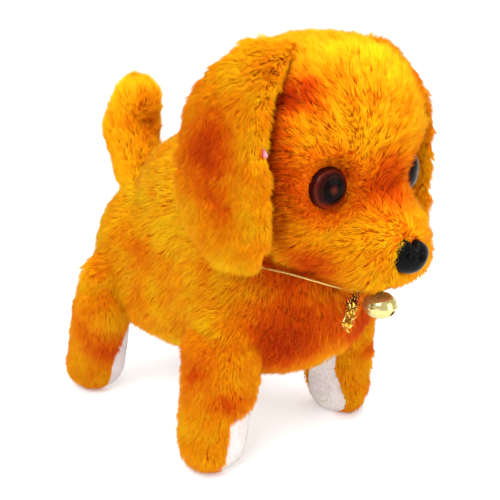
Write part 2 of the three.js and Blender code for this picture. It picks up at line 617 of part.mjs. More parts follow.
function addTail() {
  const stem = (radius) => tube([[0, 49, 89.3], [0, 60, 91], [0, 68, 98], [0, 73, 110], [0, 73, 124]], radius, 12, 8);
  const hub = bar("z", 5, CASE.top + 0.6, TAIL.z + 4, [0, TAIL.y], 14);
  const bore = bar("z", 2.3, 80, 100, [0, TAIL.y], 14);
  add("tail", "tail_stem", cut(join(hub, stem(2)), bore), LEVER);
  add("tail", "tail_plush", cut(tailSolid(), stem(2 + FIT)), FUR);
}

// ---------------------------------------------------------------- collar
const COLLAR = [
  [0, -70.5, 78.8], [-14, -65, 81], [-26.5, -49, 85.3], [-38, -30, 89.5], [-35.5, -14, 99], [-30.5, -1, 112],
  [-19, 13, 124.5], [0, 18, 129.5], [19, 13, 124.5], [30.5, -1, 112], [35.5, -14, 99], [38, -30, 89],
  [26.5, -49, 84.6], [15, -65.5, 78.4],
];

/** A closed ring of cord along the collar's route. */
function collarSolid(radius, steps, sides) {
  const curve = new THREE.CatmullRomCurve3(COLLAR.map((p) => new THREE.Vector3(...p)), true);
  return solid(new THREE.TubeGeometry(curve, steps, radius, sides, true));
}

function addCollar() {
  add("frame", "collar_cord", collarSolid(CORD, 56, 6), GOLD);
  const tie = join(
    limb([-13, -68.5, 79.2], [-15, -68.5, 76], 1.7, 2, 8, 2),
    limb([-15, -68.5, 76], [-16.5, -68, 69], 2, 2.4, 8, 2),
  );
  add("frame", "tinsel_tie", cut(tie, collarSolid(CORD + GAP, 56, 6)), GOLD);

  const centre = BELL.pivotZ - BELL.drop;
  const at = new THREE.Matrix4().makeTranslation(0, BELL.y, centre);
  const upright = new THREE.Matrix4().makeRotationX(Math.PI / 2);
  const place = at.multiply(upright);
  const r = BELL.radius;
  const high = BELL.halfHeight;
  const pillow = (inset, steps) => {
    const points = [];
    for (let i = 0; i <= steps; i++) {
      const t = rad(-90 + (180 * i) / steps);
      points.push([Math.max(0, (r - inset) * Math.cos(t)), (high - inset) * Math.sin(t)]);
    }
    return points;
  };
  const outer = turned(pillow(0, 10), 18, place);
  const hollow = turned(pillow(0.7, 8), 14, place);
  const slit = join(
    box(-0.6, 0.6, BELL.y - r - 1, BELL.y + r + 1, centre - high - 1, centre - 1.5),
    bar("x", 1.1, -0.9, 0.9, [BELL.y - 4.4, centre - 3], 8),
  );
  const eye = [BELL.y, BELL.pivotZ];
  const loop = cut(bar("x", 1.7, -0.7, 0.7, eye, 14), bar("x", 1, -2, 2, eye, 10), hollow);
  add("bell", "bell_shell", join(cut(outer, hollow, slit), loop), GOLD);
  add("bell", "bell_pellet", ball({ at: [0, BELL.y, centre - high + 2.9], r: [1.9, 1.9, 1.9] }, 0, 10, 8), STEEL);
}

// ---------------------------------------------------------------- body
function addBody() {
  const CLEAR = 1.6; // round the pieces that move
  const shape = join(...BODY.map((s) => ball(s, 0, 18, 12)));
  const { x, front, back, bottom, top } = CASE;
  const cavity = [
    box(-x - 0.6, x + 0.6, front - 0.6, back + 0.6, bottom - 20, top + 0.6),
    box(-LEVER_PLANE[1] - 1.4, LEVER_PLANE[1] + 1.4, LEG_FRONT_Y - 11, LEG_REAR_Y + 11, 42, 79),
    box(-10.5, 10.5, NECK.y - 8, TAIL.y + 9, top, 98),
  ];
  const legs = LEGS.flatMap((leg) =>
    [-LEG_SWING, 0, LEG_SWING].map((angle) =>
      turnedBy(legSolid(leg, CLEAR), "x", angle, [0, leg.y, LEG_PIVOT_Z]),
    ),
  );
  const heads = [0, -NECK.swing].map((angle) =>
    turnedBy(headSolid(CLEAR, 14, 9), "x", angle, [0, NECK.y, NECK.z]),
  );
  const tails = [-TAIL.swing, 0, TAIL.swing].map((angle) =>
    turnedBy(tailSolid(2), "z", angle, [0, TAIL.y, TAIL.z]),
  );
  const stemSlot = box(-9, 9, TAIL.y, 80, TAIL.z - 4, TAIL.z + 9);
  const body = cut(shape, ...cavity, ...legs, ...heads, ...tails, stemSlot, collarSolid(CORD + 0.7, 56, 6));
  const pieces = body.decompose().sort((a, b) => b.volume() - a.volume());
  add("frame", "body_plush", pieces[0], FUR);
}

addCasing();
addScrews();
addElectrics();
addDoor();
addGears();
addCrank();
addLegs();
addHead();
addEars();
addTail();
addCollar();
addBody();

export default dog;
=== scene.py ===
import json
import math

import bmesh
import bpy
import numpy as np
from mathutils import Matrix, Vector, kdtree, noise


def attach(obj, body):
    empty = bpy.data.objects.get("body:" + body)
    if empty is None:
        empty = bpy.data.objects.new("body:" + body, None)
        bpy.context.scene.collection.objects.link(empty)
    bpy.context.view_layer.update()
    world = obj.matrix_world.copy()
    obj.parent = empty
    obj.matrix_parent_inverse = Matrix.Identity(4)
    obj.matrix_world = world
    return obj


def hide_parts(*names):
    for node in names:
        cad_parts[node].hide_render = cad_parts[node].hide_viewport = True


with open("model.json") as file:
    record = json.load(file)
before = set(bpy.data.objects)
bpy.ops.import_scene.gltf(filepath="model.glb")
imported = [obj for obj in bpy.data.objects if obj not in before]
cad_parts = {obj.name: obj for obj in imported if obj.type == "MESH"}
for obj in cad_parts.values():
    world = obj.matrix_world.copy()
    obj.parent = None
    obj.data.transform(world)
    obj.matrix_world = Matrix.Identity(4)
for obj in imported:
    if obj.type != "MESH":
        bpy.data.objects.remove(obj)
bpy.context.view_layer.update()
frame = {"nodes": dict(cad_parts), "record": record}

# The looks of a battery-driven walking plush dog: stuffed skins, long pile made strand by strand, domed eyes,
# a moulded nose, a twisted gold collar with a tinsel knot and a jingle bell. Lengths are in millimetres in
# the tables, and in metres once they reach Blender.
MM = 0.001
SEED = 7

# ------------------------------------------------------------------ camera
CAMERA_AT = (-272.7, -261.4, 191.5)
CAMERA_TO = (0.0, -2.5, 78.7)
CAMERA_LENS = 67.2
SENSOR_WIDTH = 36.0
CAMERA_ROLL = 0.033  # radians


def make_camera():
    back = (Vector(CAMERA_AT) - Vector(CAMERA_TO)).normalized()
    right = Vector((0, 0, 1)).cross(back).normalized()
    up = back.cross(right)
    c, s = math.cos(CAMERA_ROLL), math.sin(CAMERA_ROLL)
    rolled_right = right * c + up * s
    rolled_up = up * c - right * s
    data = bpy.data.cameras.new("camera")
    data.lens = CAMERA_LENS
    data.sensor_width = SENSOR_WIDTH
    cam = bpy.data.objects.new("camera", data)
    bpy.context.scene.collection.objects.link(cam)
    m = Matrix((rolled_right, rolled_up, back)).transposed().to_4x4()
    m.translation = Vector(CAMERA_AT) * MM
    cam.matrix_world = m
    bpy.context.scene.camera = cam


make_camera()


# ------------------------------------------------------------------ materials
def srgb(code):
    """A linear colour from a hex code."""
    c = [int(code[i : i + 2], 16) / 255 for i in (0, 2, 4)]
    return tuple(x / 12.92 if x <= 0.04045 else ((x + 0.055) / 1.055) ** 2.4 for x in c) + (1.0,)


def new_material(name):
    m = bpy.data.materials.new(name)
    m.use_nodes = True
    return m, m.node_tree, m.node_tree.nodes["Principled BSDF"]


def plain(name, colour, roughness, metallic=0.0, **more):
    """One even finish, for a surface whose detail is in its geometry."""
    m, _, b = new_material(name)
    b.inputs["Base Color"].default_value = colour
    b.inputs["Roughness"].default_value = roughness
    b.inputs["Metallic"].default_value = metallic
    for key, value in more.items():
        b.inputs[key.replace("_", " ")].default_value = value
    return m


def grained(
    name, dark, light, roughness, scale, bump=0.0, metallic=0.0, spread=0.1, stretch=(1, 1, 1), **more
):
    """Noise between two colours, in the roughness and in the bump, at a scale in ripples per metre."""
    m, tree, b = new_material(name)
    link = tree.links.new
    place = tree.nodes.new("ShaderNodeTexCoord")
    mapping = tree.nodes.new("ShaderNodeMapping")
    mapping.inputs["Scale"].default_value = stretch
    link(place.outputs["Object"], mapping.inputs["Vector"])
    fine = tree.nodes.new("ShaderNodeTexNoise")
    fine.inputs["Scale"].default_value = scale
    fine.inputs["Detail"].default_value = 6.0
    link(mapping.outputs["Vector"], fine.inputs["Vector"])
    ramp = tree.nodes.new("ShaderNodeValToRGB")
    ramp.color_ramp.elements[0].position = 0.3
    ramp.color_ramp.elements[1].position = 0.7
    ramp.color_ramp.elements[0].color = dark
    ramp.color_ramp.elements[1].color = light
    link(fine.outputs["Fac"], ramp.inputs["Fac"])
    link(ramp.outputs["Color"], b.inputs["Base Color"])
    if spread:
        rough = tree.nodes.new("ShaderNodeMapRange")
        rough.inputs["To Min"].default_value = max(0.0, roughness - spread)
        rough.inputs["To Max"].default_value = min(1.0, roughness + spread)
        link(fine.outputs["Fac"], rough.inputs["Value"])
        link(rough.outputs["Result"], b.inputs["Roughness"])
    else:
        b.inputs["Roughness"].default_value = roughness
    if bump:
        bumps = tree.nodes.new("ShaderNodeBump")
        bumps.inputs["Strength"].default_value = bump
        bumps.inputs["Distance"].default_value = 0.0004
        link(fine.outputs["Fac"], bumps.inputs["Height"])
        link(bumps.outputs["Normal"], b.inputs["Normal"])
    b.inputs["Metallic"].default_value = metallic
    for key, value in more.items():
        b.inputs[key.replace("_", " ")].default_value = value
    return m


# Fur shades run from sunlit yellow to the red of deep, shaded pile. Each strand takes one for its tip and a
# deeper one below, which is painted shade for the depth of the pile.
FUR_KEYS = [(0.0, "fbcb0c"), (0.3, "f99c02"), (0.6, "e85c00"), (1.0, "b62400")]
FUR_SHADES = 14


def fur_colour(tone):
    """The colour of the pile at a tone from 0 to 1."""
    for (t0, a), (t1, b) in zip(FUR_KEYS, FUR_KEYS[1:]):
        if tone <= t1:
            k = (tone - t0) / (t1 - t0)
            return tuple(x * (1 - k) + y * k for x, y in zip(srgb(a), srgb(b)))
    return srgb(FUR_KEYS[-1][1])


FUR = [
    plain(f"fur_{i:02d}", fur_colour(i / (FUR_SHADES - 1)), 0.7, Specular_IOR_Level=0.06)
    for i in range(FUR_SHADES)
]
NAP = [
    plain(f"nap_{i}", srgb(code), 0.8, Specular_IOR_Level=0.2)
    for i, code in enumerate(["f2ece9", "ebe3e1", "e2d8d6", "d6cac8"])
]
BACKING = grained("fur_backing", srgb("cc5200"), srgb("ea7a02"), 0.95, 900, bump=0.5, Specular_IOR_Level=0.1)
LINING = grained("lining_cloth", srgb("dfd4d0"), srgb("f1eae7"), 0.9, 1400, bump=0.6, Specular_IOR_Level=0.2)
SATIN = grained(
    "ear_satin", srgb("e0708a"), srgb("f09aac"), 0.5, 2200, bump=0.3, stretch=(1, 1, 0.2), Sheen_Weight=0.5
)
NOSE = grained(
    "nose_vinyl", srgb("020203"), srgb("070708"), 0.3, 1800, bump=0.3, spread=0.08, Specular_IOR_Level=0.06
)
CASING = grained("casing_plastic", srgb("ddd8ca"), srgb("e9e5da"), 0.48, 2600, bump=0.12)
GEARS = grained("gear_acetal", srgb("ecece6"), srgb("f7f7f3"), 0.36, 1600, bump=0.08)
LEVERS = grained("lever_plastic", srgb("cbc5b6"), srgb("dad5c8"), 0.5, 2000, bump=0.12)
BLACK = grained("black_plastic", srgb("101010"), srgb("1c1c1c"), 0.5, 2200, bump=0.15)
STEEL = grained("steel", srgb("8f9396"), srgb("b9bcbf"), 0.3, 1200, metallic=1.0, stretch=(1, 0.1, 0.1))
BOARD = grained("circuit_board", srgb("0d4a26"), srgb("17663a"), 0.45, 700, bump=0.2)
CELL = grained("cell_sleeve", srgb("27466f"), srgb("34598a"), 0.3, 300)
RED_LEAD = grained("red_lead", srgb("8f1610"), srgb("b3261e"), 0.45, 1500)
BLACK_LEAD = grained("black_lead", srgb("0c0c0c"), srgb("1a1a1a"), 0.45, 1500)
GOLD = grained("bell_gold", srgb("cdbb74"), srgb("d9ca8c"), 0.15, 260, metallic=0.8, spread=0.03, bump=0.02)
THREAD = grained("gold_thread", srgb("a97e28"), srgb("e6c878"), 0.34, 4000, metallic=0.9, bump=0.3)
# The last shade is a painted shadow, the dark red at the top of the knot under the chin, and one shade stays
# bright there.
TINSEL_FOIL_AND_SHADOW = ["e8b93c", "c98f1c", "f7dc7c", "9a6a14", "5c1c0a"]
TINSEL_BRIGHT = 2
TINSEL = [plain(f"tinsel_{i}", srgb(code), 0.22, 1.0) for i, code in enumerate(TINSEL_FOIL_AND_SHADOW)]
# Painted shade: a near-black brown for the bell's hollow and the cut sides of its slit and eyelets.
BELL_HOLLOW_SHADE = grained("bell_inside_shade", srgb("1a0f04"), srgb("2c1a08"), 0.6, 900)

EYE_R = 7.6
# (distance from the middle over the radius, colour)
EYE_RINGS = [
    (0.0, "7a3018"), (0.1, "54200f"), (0.26, "2a0e08"), (0.36, "0a0404"), (0.6, "0c0504"), (0.68, "2c0d09"),
    (0.74, "1c0706"), (0.84, "36100b"), (0.93, "561a10"), (1.0, "2c0a06"),
]
# Painted light: the red of light refracted through the dome onto its lower rim.
EYE_PAINTED_GLOW = "96300f"


def eye_material():
    """A dark glossy button eye. Rings of colour run out from its middle, and a red glow is painted on its
    lower rim for light refracted through the dome.
    """
    m, tree, b = new_material("eye_glass")
    link = tree.links.new
    place = tree.nodes.new("ShaderNodeTexCoord")
    flat = tree.nodes.new("ShaderNodeMapping")
    flat.inputs["Scale"].default_value = (1, 1, 0)
    link(place.outputs["Object"], flat.inputs["Vector"])
    length = tree.nodes.new("ShaderNodeVectorMath")
    length.operation = "LENGTH"
    link(flat.outputs["Vector"], length.inputs[0])
    ripple = tree.nodes.new("ShaderNodeTexNoise")
    ripple.inputs["Scale"].default_value = 700
    link(place.outputs["Object"], ripple.inputs["Vector"])
    waver = tree.nodes.new("ShaderNodeMath")
    waver.operation = "MULTIPLY_ADD"
    link(ripple.outputs["Fac"], waver.inputs[0])
    waver.inputs[1].default_value = 0.0009
    link(length.outputs["Value"], waver.inputs[2])
    across = tree.nodes.new("ShaderNodeMapRange")
    across.inputs["From Max"].default_value = EYE_R * MM
    link(waver.outputs["Value"], across.inputs["Value"])
    ramp = tree.nodes.new("ShaderNodeValToRGB")
    stops = ramp.color_ramp.elements
    for stop, (at, code) in zip((stops[0], stops[1]), (EYE_RINGS[0], EYE_RINGS[-1])):
        stop.position, stop.color = at, srgb(code)
    for at, code in EYE_RINGS[1:-1]:
        stops.new(at).color = srgb(code)
    link(across.outputs["Result"], ramp.inputs["Fac"])
    apart = tree.nodes.new("ShaderNodeSeparateXYZ")
    link(place.outputs["Object"], apart.inputs["Vector"])
    # Painted light: a red glow mixed into the lower rim, for light refracted down through the dome.
    low = tree.nodes.new("ShaderNodeMapRange")
    low.inputs["From Min"].default_value = -0.002
    low.inputs["From Max"].default_value = -0.008
    low.inputs["To Max"].default_value = 0.7
    link(apart.outputs["Y"], low.inputs["Value"])
    rim = tree.nodes.new("ShaderNodeMapRange")
    rim.inputs["From Min"].default_value = 0.66
    rim.inputs["From Max"].default_value = 0.9
    link(across.outputs["Result"], rim.inputs["Value"])
    painted_glow_amount = tree.nodes.new("ShaderNodeMath")
    painted_glow_amount.operation = "MULTIPLY"
    link(low.outputs["Result"], painted_glow_amount.inputs[0])
    link(rim.outputs["Result"], painted_glow_amount.inputs[1])
    painted_glow = tree.nodes.new("ShaderNodeMix")
    painted_glow.data_type = "RGBA"
    link(painted_glow_amount.outputs["Value"], painted_glow.inputs["Factor"])
    link(ramp.outputs["Color"], painted_glow.inputs["A"])
    painted_glow.inputs["B"].default_value = srgb(EYE_PAINTED_GLOW)
    link(painted_glow.outputs["Result"], b.inputs["Base Color"])
    b.inputs["Roughness"].default_value = 0.08
    b.inputs["IOR"].default_value = 1.25
    b.inputs["Specular IOR Level"].default_value = 0.12
    return m


EYE_GLASS = eye_material()
WASHER = grained("eye_washer", srgb("120605"), srgb("241009"), 0.4, 900)

CAD_FINISH = {
    "casing": CASING,
    "gear_plastic": GEARS,
    "lever_plastic": LEVERS,
    "black_plastic": BLACK,
    "steel": STEEL,
    "board": BOARD,
    "cell_wrap": CELL,
    "lead_red": RED_LEAD,
    "lead_black": BLACK_LEAD,
    "gold": GOLD,
    "tinsel": THREAD,
    "fur": BACKING,
    "sole_fabric": LINING,
    "ear_satin": SATIN,
    "nose_plastic": NOSE,
    "eye_plastic": EYE_GLASS,
}


def finish_cad_nodes():
    for row in frame["record"]["subparts"]:
        node = frame["nodes"][row["node"]]
        node.data.materials.clear()
        node.data.materials.append(CAD_FINISH[row["material_slot"]])


finish_cad_nodes()


# ------------------------------------------------------------------ mesh helpers
def make_object(name, vertices, faces, materials, smooth=True):
    mesh = bpy.data.meshes.new(name)
    mesh.from_pydata([tuple(v) for v in vertices], [], [tuple(f) for f in faces])
    mesh.validate()
    for m in materials:
        mesh.materials.append(m)
    if smooth:
        mesh.shade_smooth()
    obj = bpy.data.objects.new(name, mesh)
    bpy.context.scene.collection.objects.link(obj)
    return obj


def from_bmesh(name, bm, materials, smooth=True):
    bmesh.ops.recalc_face_normals(bm, faces=bm.faces)
    mesh = bpy.data.meshes.new(name)
    bm.to_mesh(mesh)
    bm.free()
    for m in materials:
        mesh.materials.append(m)
    if smooth:
        mesh.shade_smooth()
    obj = bpy.data.objects.new(name, mesh)
    bpy.context.scene.collection.objects.link(obj)
    return obj


def apply_modifiers(obj):
    """The object's mesh becomes what its modifiers make of it."""
    bpy.context.view_layer.update()
    graph = bpy.context.evaluated_depsgraph_get()
    made = bpy.data.meshes.new_from_object(obj.evaluated_get(graph))
    materials = list(obj.data.materials)
    obj.modifiers.clear()
    old = obj.data
    obj.data = made
    bpy.data.meshes.remove(old)
    made.materials.clear()
    for m in materials:
        made.materials.append(m)
    made.shade_smooth()


def add_ball(bm, at, r, power=2.0, grow=0.0):
    """Adds a ball with a radius for each axis. A power over 2 makes it boxier."""
    made = bmesh.ops.create_icosphere(bm, subdivisions=5, radius=1.0)
    for v in made["verts"]:
        d = v.co
        k = (abs(d.x) ** power + abs(d.y) ** power + abs(d.z) ** power) ** (-1 / power)
        v.co = Vector([(at[i] + d[i] * k * (r[i] + grow)) * MM for i in range(3)])


def add_limb(bm, a, b, ra, rb, grow=0.0):
    """Adds a round-ended limb between two points."""
    a, b = Vector(a), Vector(b)
    length = (b - a).length
    turn = Vector((0, 0, 1)).rotation_difference((b - a).normalized())
    sides, steps = 40, 12
    rings = []
    for i in range(1, steps):
        t = i / steps * math.pi / 2
        rings.append(((ra + grow) * math.sin(t), -(ra + grow) * math.cos(t)))
    for i in range(9):
        k = i / 8
        rings.append(((ra + grow) * (1 - k) + (rb + grow) * k, length * k))
    for i in range(1, steps):
        t = i / steps * math.pi / 2
        rings.append(((rb + grow) * math.cos(t), length + (rb + grow) * math.sin(t)))

    def place(x, y, z):
        return (a + turn @ Vector((x, y, z))) * MM

    low = bm.verts.new(place(0, 0, -(ra + grow)))
    high = bm.verts.new(place(0, 0, length + rb + grow))
    rows = []
    for radius, height in rings:
        angles = [j / sides * 2 * math.pi for j in range(sides)]
        rows.append([bm.verts.new(place(radius * math.cos(t), radius * math.sin(t), height)) for t in angles])
    for j in range(sides):
        k = (j + 1) % sides
        bm.faces.new((low, rows[0][k], rows[0][j]))
        bm.faces.new((high, rows[-1][j], rows[-1][k]))
        for one, two in zip(rows, rows[1:]):
            bm.faces.new((one[j], one[k], two[k], two[j]))


def arrays(mesh):
    """(vertices, vertex normals, triangles) of a mesh."""
    n = len(mesh.vertices)
    co = np.empty(n * 3)
    mesh.vertices.foreach_get("co", co)
    normals = np.empty(n * 3)
    mesh.vertex_normals.foreach_get("vector", normals)
    mesh.calc_loop_triangles()
    tri = np.empty(len(mesh.loop_triangles) * 3, dtype=np.int64)
    mesh.loop_triangles.foreach_get("vertices", tri)
    return co.reshape(-1, 3), normals.reshape(-1, 3), tri.reshape(-1, 3)


def relax(obj, rounds):
    """Evens out the surface, so that joined shapes flow into each other. Each round moves a vertex halfway to
    the middle of its neighbours."""
    mesh = obj.data
    n = len(mesh.vertices)
    co = np.empty(n * 3)
    mesh.vertices.foreach_get("co", co)
    co = co.reshape(-1, 3)
    edges = np.empty(len(mesh.edges) * 2, dtype=np.int64)
    mesh.edges.foreach_get("vertices", edges)
    edges = edges.reshape(-1, 2)
    count = np.bincount(edges.ravel(), minlength=n)[:, None].clip(1)
    for _ in range(rounds):
        total = np.zeros_like(co)
        for axis in range(3):
            total[:, axis] = np.bincount(edges[:, 0], co[edges[:, 1], axis], n)
            total[:, axis] += np.bincount(edges[:, 1], co[edges[:, 0], axis], n)
        co += 0.5 * (total / count - co)
    mesh.vertices.foreach_set("co", co.ravel())
    mesh.update()


def cut_away(obj, low, high):
    """Cuts a box out of a piece. The corners are in millimetres."""
    bm = bmesh.new()
    bmesh.ops.create_cube(bm, size=1.0)
    low, high = Vector(low) * MM, Vector(high) * MM
    for v in bm.verts:
        v.co = Vector([low[i] + (v.co[i] + 0.5) * (high[i] - low[i]) for i in range(3)])
    tool = from_bmesh("tool", bm, [], smooth=False)
    mod = obj.modifiers.new("cut", "BOOLEAN")
    mod.operation = "DIFFERENCE"
    mod.solver = "EXACT"
    mod.object = tool
    apply_modifiers(obj)
    bpy.data.objects.remove(tool)


def skin_from(name, fill, material, voxel=1.8, rounds=14):
    """One smooth closed skin round the shapes that fill() adds to a bmesh."""
    bm = bmesh.new()
    fill(bm)
    obj = from_bmesh(name, bm, [material])
    mod = obj.modifiers.new("remesh", "REMESH")
    mod.mode = "VOXEL"
    mod.voxel_size = voxel * MM
    apply_modifiers(obj)
    relax(obj, rounds)
    return obj


# ------------------------------------------------------------------ skins
BODY = [
    ((0, -16, 72), (40, 39, 38), 2.5),
    ((0, 10, 82), (36, 38, 33), 2.2),
    ((0, 43, 72), (36, 31, 32), 2.2),
    ((0, 20, 66), (36.5, 46, 32), 3.2),
    ((0, 10, 98), (32, 44, 30), 2.1),
]
HEAD = [
    ((0, -34, 131), (42, 36.5, 38.5), 2.4),
    ((0, -44, 106), (36, 29, 23), 2.2),
    ((0, -62, 98), (25, 22, 18.5), 2.0),
    ((3, -66, 92.5), (22, 16, 12), 3.0),
]
NECK = ((0, -24, 100), (30, 24, 16), 2.0)
# (side, hip, foot), where a hip and a foot are (distance from the middle plane, y)
LEGS = {
    "front_left": (1, (35.5, -24), (38.5, -23)),
    "front_right": (-1, (35.5, -24), (38.5, -23)),
    "rear_left": (1, (34.5, 52), (34, 59)),
    "rear_right": (-1, (34, 52), (25.5, 70)),
}
LEG_PIVOT_Z = 50.0
LEG_TOP_R = {"front": 15.0, "rear": 12.6}
LEG_FOOT_R = 13.5
LEG_SKIN_IN = -1.0
HAUNCH_R = {"front": (14, 15, 15), "rear": (14, 11, 15)}
HAUNCH_Z = 58
# (lower end, upper end, radius there, radius there)
TAIL = [((0, 70, 98), (0, 76.2, 120), 10, 12), ((0, 76.2, 120), (0, 71, 134), 12, 10)]
SKIN_IN = -1.5  # the skin lies this far inside the stuffed shape that the pile fills out
CASING_ROOM = (-21.6, -26.6, 20), (21.6, 54.6, 86.8)  # cut out of the body for the casing
EYE_AT, EYE_TURN = (23.8, -61.4, 119.5), math.radians(16)
EYE_CENTRES = [np.array([s * EYE_AT[0], EYE_AT[1], EYE_AT[2]]) for s in (1, -1)]
EYE_OUT = [np.array([s * math.sin(EYE_TURN), -math.cos(EYE_TURN), 0.0]) for s in (1, -1)]
NOSE_AT = (-0.9, -81.2, 95.0)
NOSE_TURN, NOSE_ROLL = math.radians(-24), math.radians(10)


def leg_end(name):
    """front or rear."""
    return name.split("_")[0]


def make_body():
    def fill(bm):
        for at, r, power in BODY:
            add_ball(bm, at, r, power, SKIN_IN)
        for name, (side, top, _) in LEGS.items():
            add_ball(bm, (side * (top[0] - 2), top[1], HAUNCH_Z), HAUNCH_R[leg_end(name)], 2.0, SKIN_IN)

    obj = skin_from("body_skin", fill, BACKING, rounds=18)
    cut_away(obj, *CASING_ROOM)
    return obj


def make_head():
    def fill(bm):
        for at, r, power in HEAD:
            add_ball(bm, at, r, power, SKIN_IN)
        add_ball(bm, *NECK)

    obj = skin_from("head_skin", fill, BACKING, rounds=16)
    # The skin is drawn to a flat seat behind each eye.
    p = arrays(obj.data)[0] / MM
    for centre, out in zip(EYE_CENTRES, EYE_OUT):
        ahead = (p - centre) @ out
        gap = np.linalg.norm(p - centre - np.outer(ahead, out), axis=1)
        k = np.clip((12.5 - gap) / 4.0, 0, 1)
        k = k * k * (3 - 2 * k) * (np.abs(ahead) < 12)
        p -= ((ahead + 0.8) * k)[:, None] * out
    obj.data.vertices.foreach_set("co", (p * MM).ravel())
    obj.data.update()
    return obj


# How far the white inner panel of each leg reaches past the leg's middle
LINING_REACH = {"front_left": -3.0, "front_right": 5.3, "rear_left": -1.0, "rear_right": 0.5}
# Where a panel gets narrower, as (height it starts at, height it is complete at, amount)
LINING_CUTS = {
    "front_left": [(0, 26, 7.5)],
    "front_right": [(26, 33, 14.0), (4, 0, 8.0)],
    "rear_left": [(22, 46, 7.0)],
    "rear_right": [(22, 46, 7.0)],
}


def lining_edge(name, z):
    """How far out the white inner panel of a leg reaches at a height, from the middle plane of the dog."""
    _, top, foot = LEGS[name]
    k = np.clip(z / LEG_PIVOT_Z, 0, 1)
    cut = sum(amount * np.clip((z - start) / (end - start), 0, 1) for start, end, amount in LINING_CUTS[name])
    return foot[0] * (1 - k) + top[0] * k + LINING_REACH[name] - cut


def make_leg(name):
    side, top, foot = LEGS[name]

    def fill(bm):
        hip = (side * top[0], top[1], LEG_PIVOT_Z)
        ankle = (side * foot[0], foot[1], LEG_FOOT_R - 1)
        add_limb(bm, hip, ankle, LEG_TOP_R[leg_end(name)], LEG_FOOT_R, LEG_SKIN_IN)

    obj = skin_from(f"leg_skin_{name}", fill, BACKING, voxel=1.4, rounds=5)
    obj.data.materials.append(LINING)
    for face in obj.data.polygons:
        x, _, z = face.center / MM
        face.material_index = int(x * side < lining_edge(name, z))
    return obj


def make_tail():
    def fill(bm):
        for a, b, ra, rb in TAIL:
            add_limb(bm, a, b, ra, rb, SKIN_IN)
        add_ball(bm, (0, 66, 90), (9, 9, 10))

    return skin_from("tail_skin", fill, BACKING, voxel=1.6, rounds=8)


# The ear's outline as (height, front edge, back edge)
EAR_EDGE = [
    (166.0, -44.0, -24.0), (156.0, -48.5, -19.0), (146.0, -51.0, -15.0), (134.0, -53.0, -13.0),
    (118.0, -54.5, -12.5), (106.0, -55.0, -17.5), (99.0, -54.0, -26.0), (95.5, -49.0, -37.0),
]
EAR_THICK = 2.4
GLIMPSE_Z = 135  # where the satin shows past the front edge of the right ear


def ear_point(side, u, v, out):
    """A point of the ear: u from -1 at its front edge to 1 at its back edge, v from 0 at the crown to 1 at
    its tip, and out millimetres outwards from its middle layer."""
    heights = [row[0] for row in EAR_EDGE]
    z = heights[0] + (heights[-1] - heights[0]) * v
    front = np.interp(-z, [-h for h in heights], [row[1] for row in EAR_EDGE])
    back = np.interp(-z, [-h for h in heights], [row[2] for row in EAR_EDGE])
    y = (front + back) / 2 + (back - front) / 2 * u
    skull, r, power = HEAD[0]
    k = abs((y - skull[1]) * 0.5 / r[1]) ** power + max(0.0, (z - skull[2]) / r[2]) ** power
    rise = min(1.0, v / 0.35)
    x = r[0] * max(0.02, 1 - k) ** (1 / power) + 2.0 + 4.5 * rise * (2 - rise)
    x += 1.5 * v**2 + 0.7 * math.sin(8 * v + 2 * u)
    return Vector((side * (x + out), y, z)) * MM


def sheet_mesh(name, point, rows, columns, material):
    """A closed soft sheet. point(u, v, layer) gives its two faces, where layer is -1 inside and 1 outside."""
    vertices, faces = [], []
    for layer in (-1, 1):
        for i in range(rows + 1):
            vertices += [point(2 * j / columns - 1, i / rows, layer) for j in range(columns + 1)]
    width = columns + 1
    block = (rows + 1) * width
    for layer in (0, 1):
        for i in range(rows):
            for j in range(columns):
                a = layer * block + i * width + j
                quad = (a, a + 1, a + width + 1, a + width)
                faces.append(quad if layer else quad[::-1])
    rim = list(range(width)) + [i * width + columns for i in range(1, rows + 1)]
    rim += [rows * width + j for j in range(columns - 1, -1, -1)]
    rim += [i * width for i in range(rows - 1, 0, -1)]
    for a, b in zip(rim, rim[1:] + rim[:1]):
        faces.append((a, b, b + block, a + block))
    obj = make_object(name, vertices, faces, [material])
    bm = bmesh.new()
    bm.from_mesh(obj.data)
    bmesh.ops.remove_doubles(bm, verts=bm.verts, dist=0.0001)
    bmesh.ops.recalc_face_normals(bm, faces=bm.faces)
    bm.to_mesh(obj.data)
    bm.free()
    obj.data.shade_smooth()
    return obj


def ear_side(side):
    return "left" if side > 0 else "right"


def make_ear(side):
    """A soft flap that starts on the crown and hangs beside the cheek."""

    def point(u, v, layer):
        edge = math.sqrt(max(0.0, 1 - abs(u) ** 2.6)) * math.sqrt(max(0.0, 1 - v**8))
        return ear_point(side, u, v, layer * EAR_THICK * edge)

    return sheet_mesh(f"ear_skin_{ear_side(side)}", point, 34, 24, BACKING)


def make_ear_lining(side):
    """The satin inside the ear. In the right ear it shows past the front edge for a short way."""

    def point(u, v, layer):
        z = EAR_EDGE[0][0] + (EAR_EDGE[-1][0] - EAR_EDGE[0][0]) * v
        front = 0.66 + 0.44 * math.exp(-(((z - GLIMPSE_Z) / 5.0) ** 2)) * (side < 0)
        u = u * (front if u < 0 else 0.9)
        v = 0.1 + 0.84 * v
        edge = math.sqrt(max(0.0, 1 - min(1.0, abs(u)) ** 2.6))
        return ear_point(side, u, v, -EAR_THICK * edge - 0.35 + 0.15 * layer)

    return sheet_mesh(f"ear_satin_{ear_side(side)}", point, 34, 24, SATIN)


body_skin = make_body()
head_skin = make_head()
leg_skins = {name: make_leg(name) for name in LEGS}
tail_skin = make_tail()
ear_skins = {"left": make_ear(1), "right": make_ear(-1)}
ear_linings = {"left": make_ear_lining(1), "right": make_ear_lining(-1)}


# ------------------------------------------------------------------ fur
def unit(v):
    return v / np.linalg.norm(v, axis=1, keepdims=True).clip(1e-9)


def noise_at(points, scale, offset=0.0):
    """Smooth noise from about -1 to 1 at points in millimetres."""
    return np.array(
        [noise.noise(Vector((p[0] / scale + offset, p[1] / scale, p[2] / scale))) for p in points]
    )


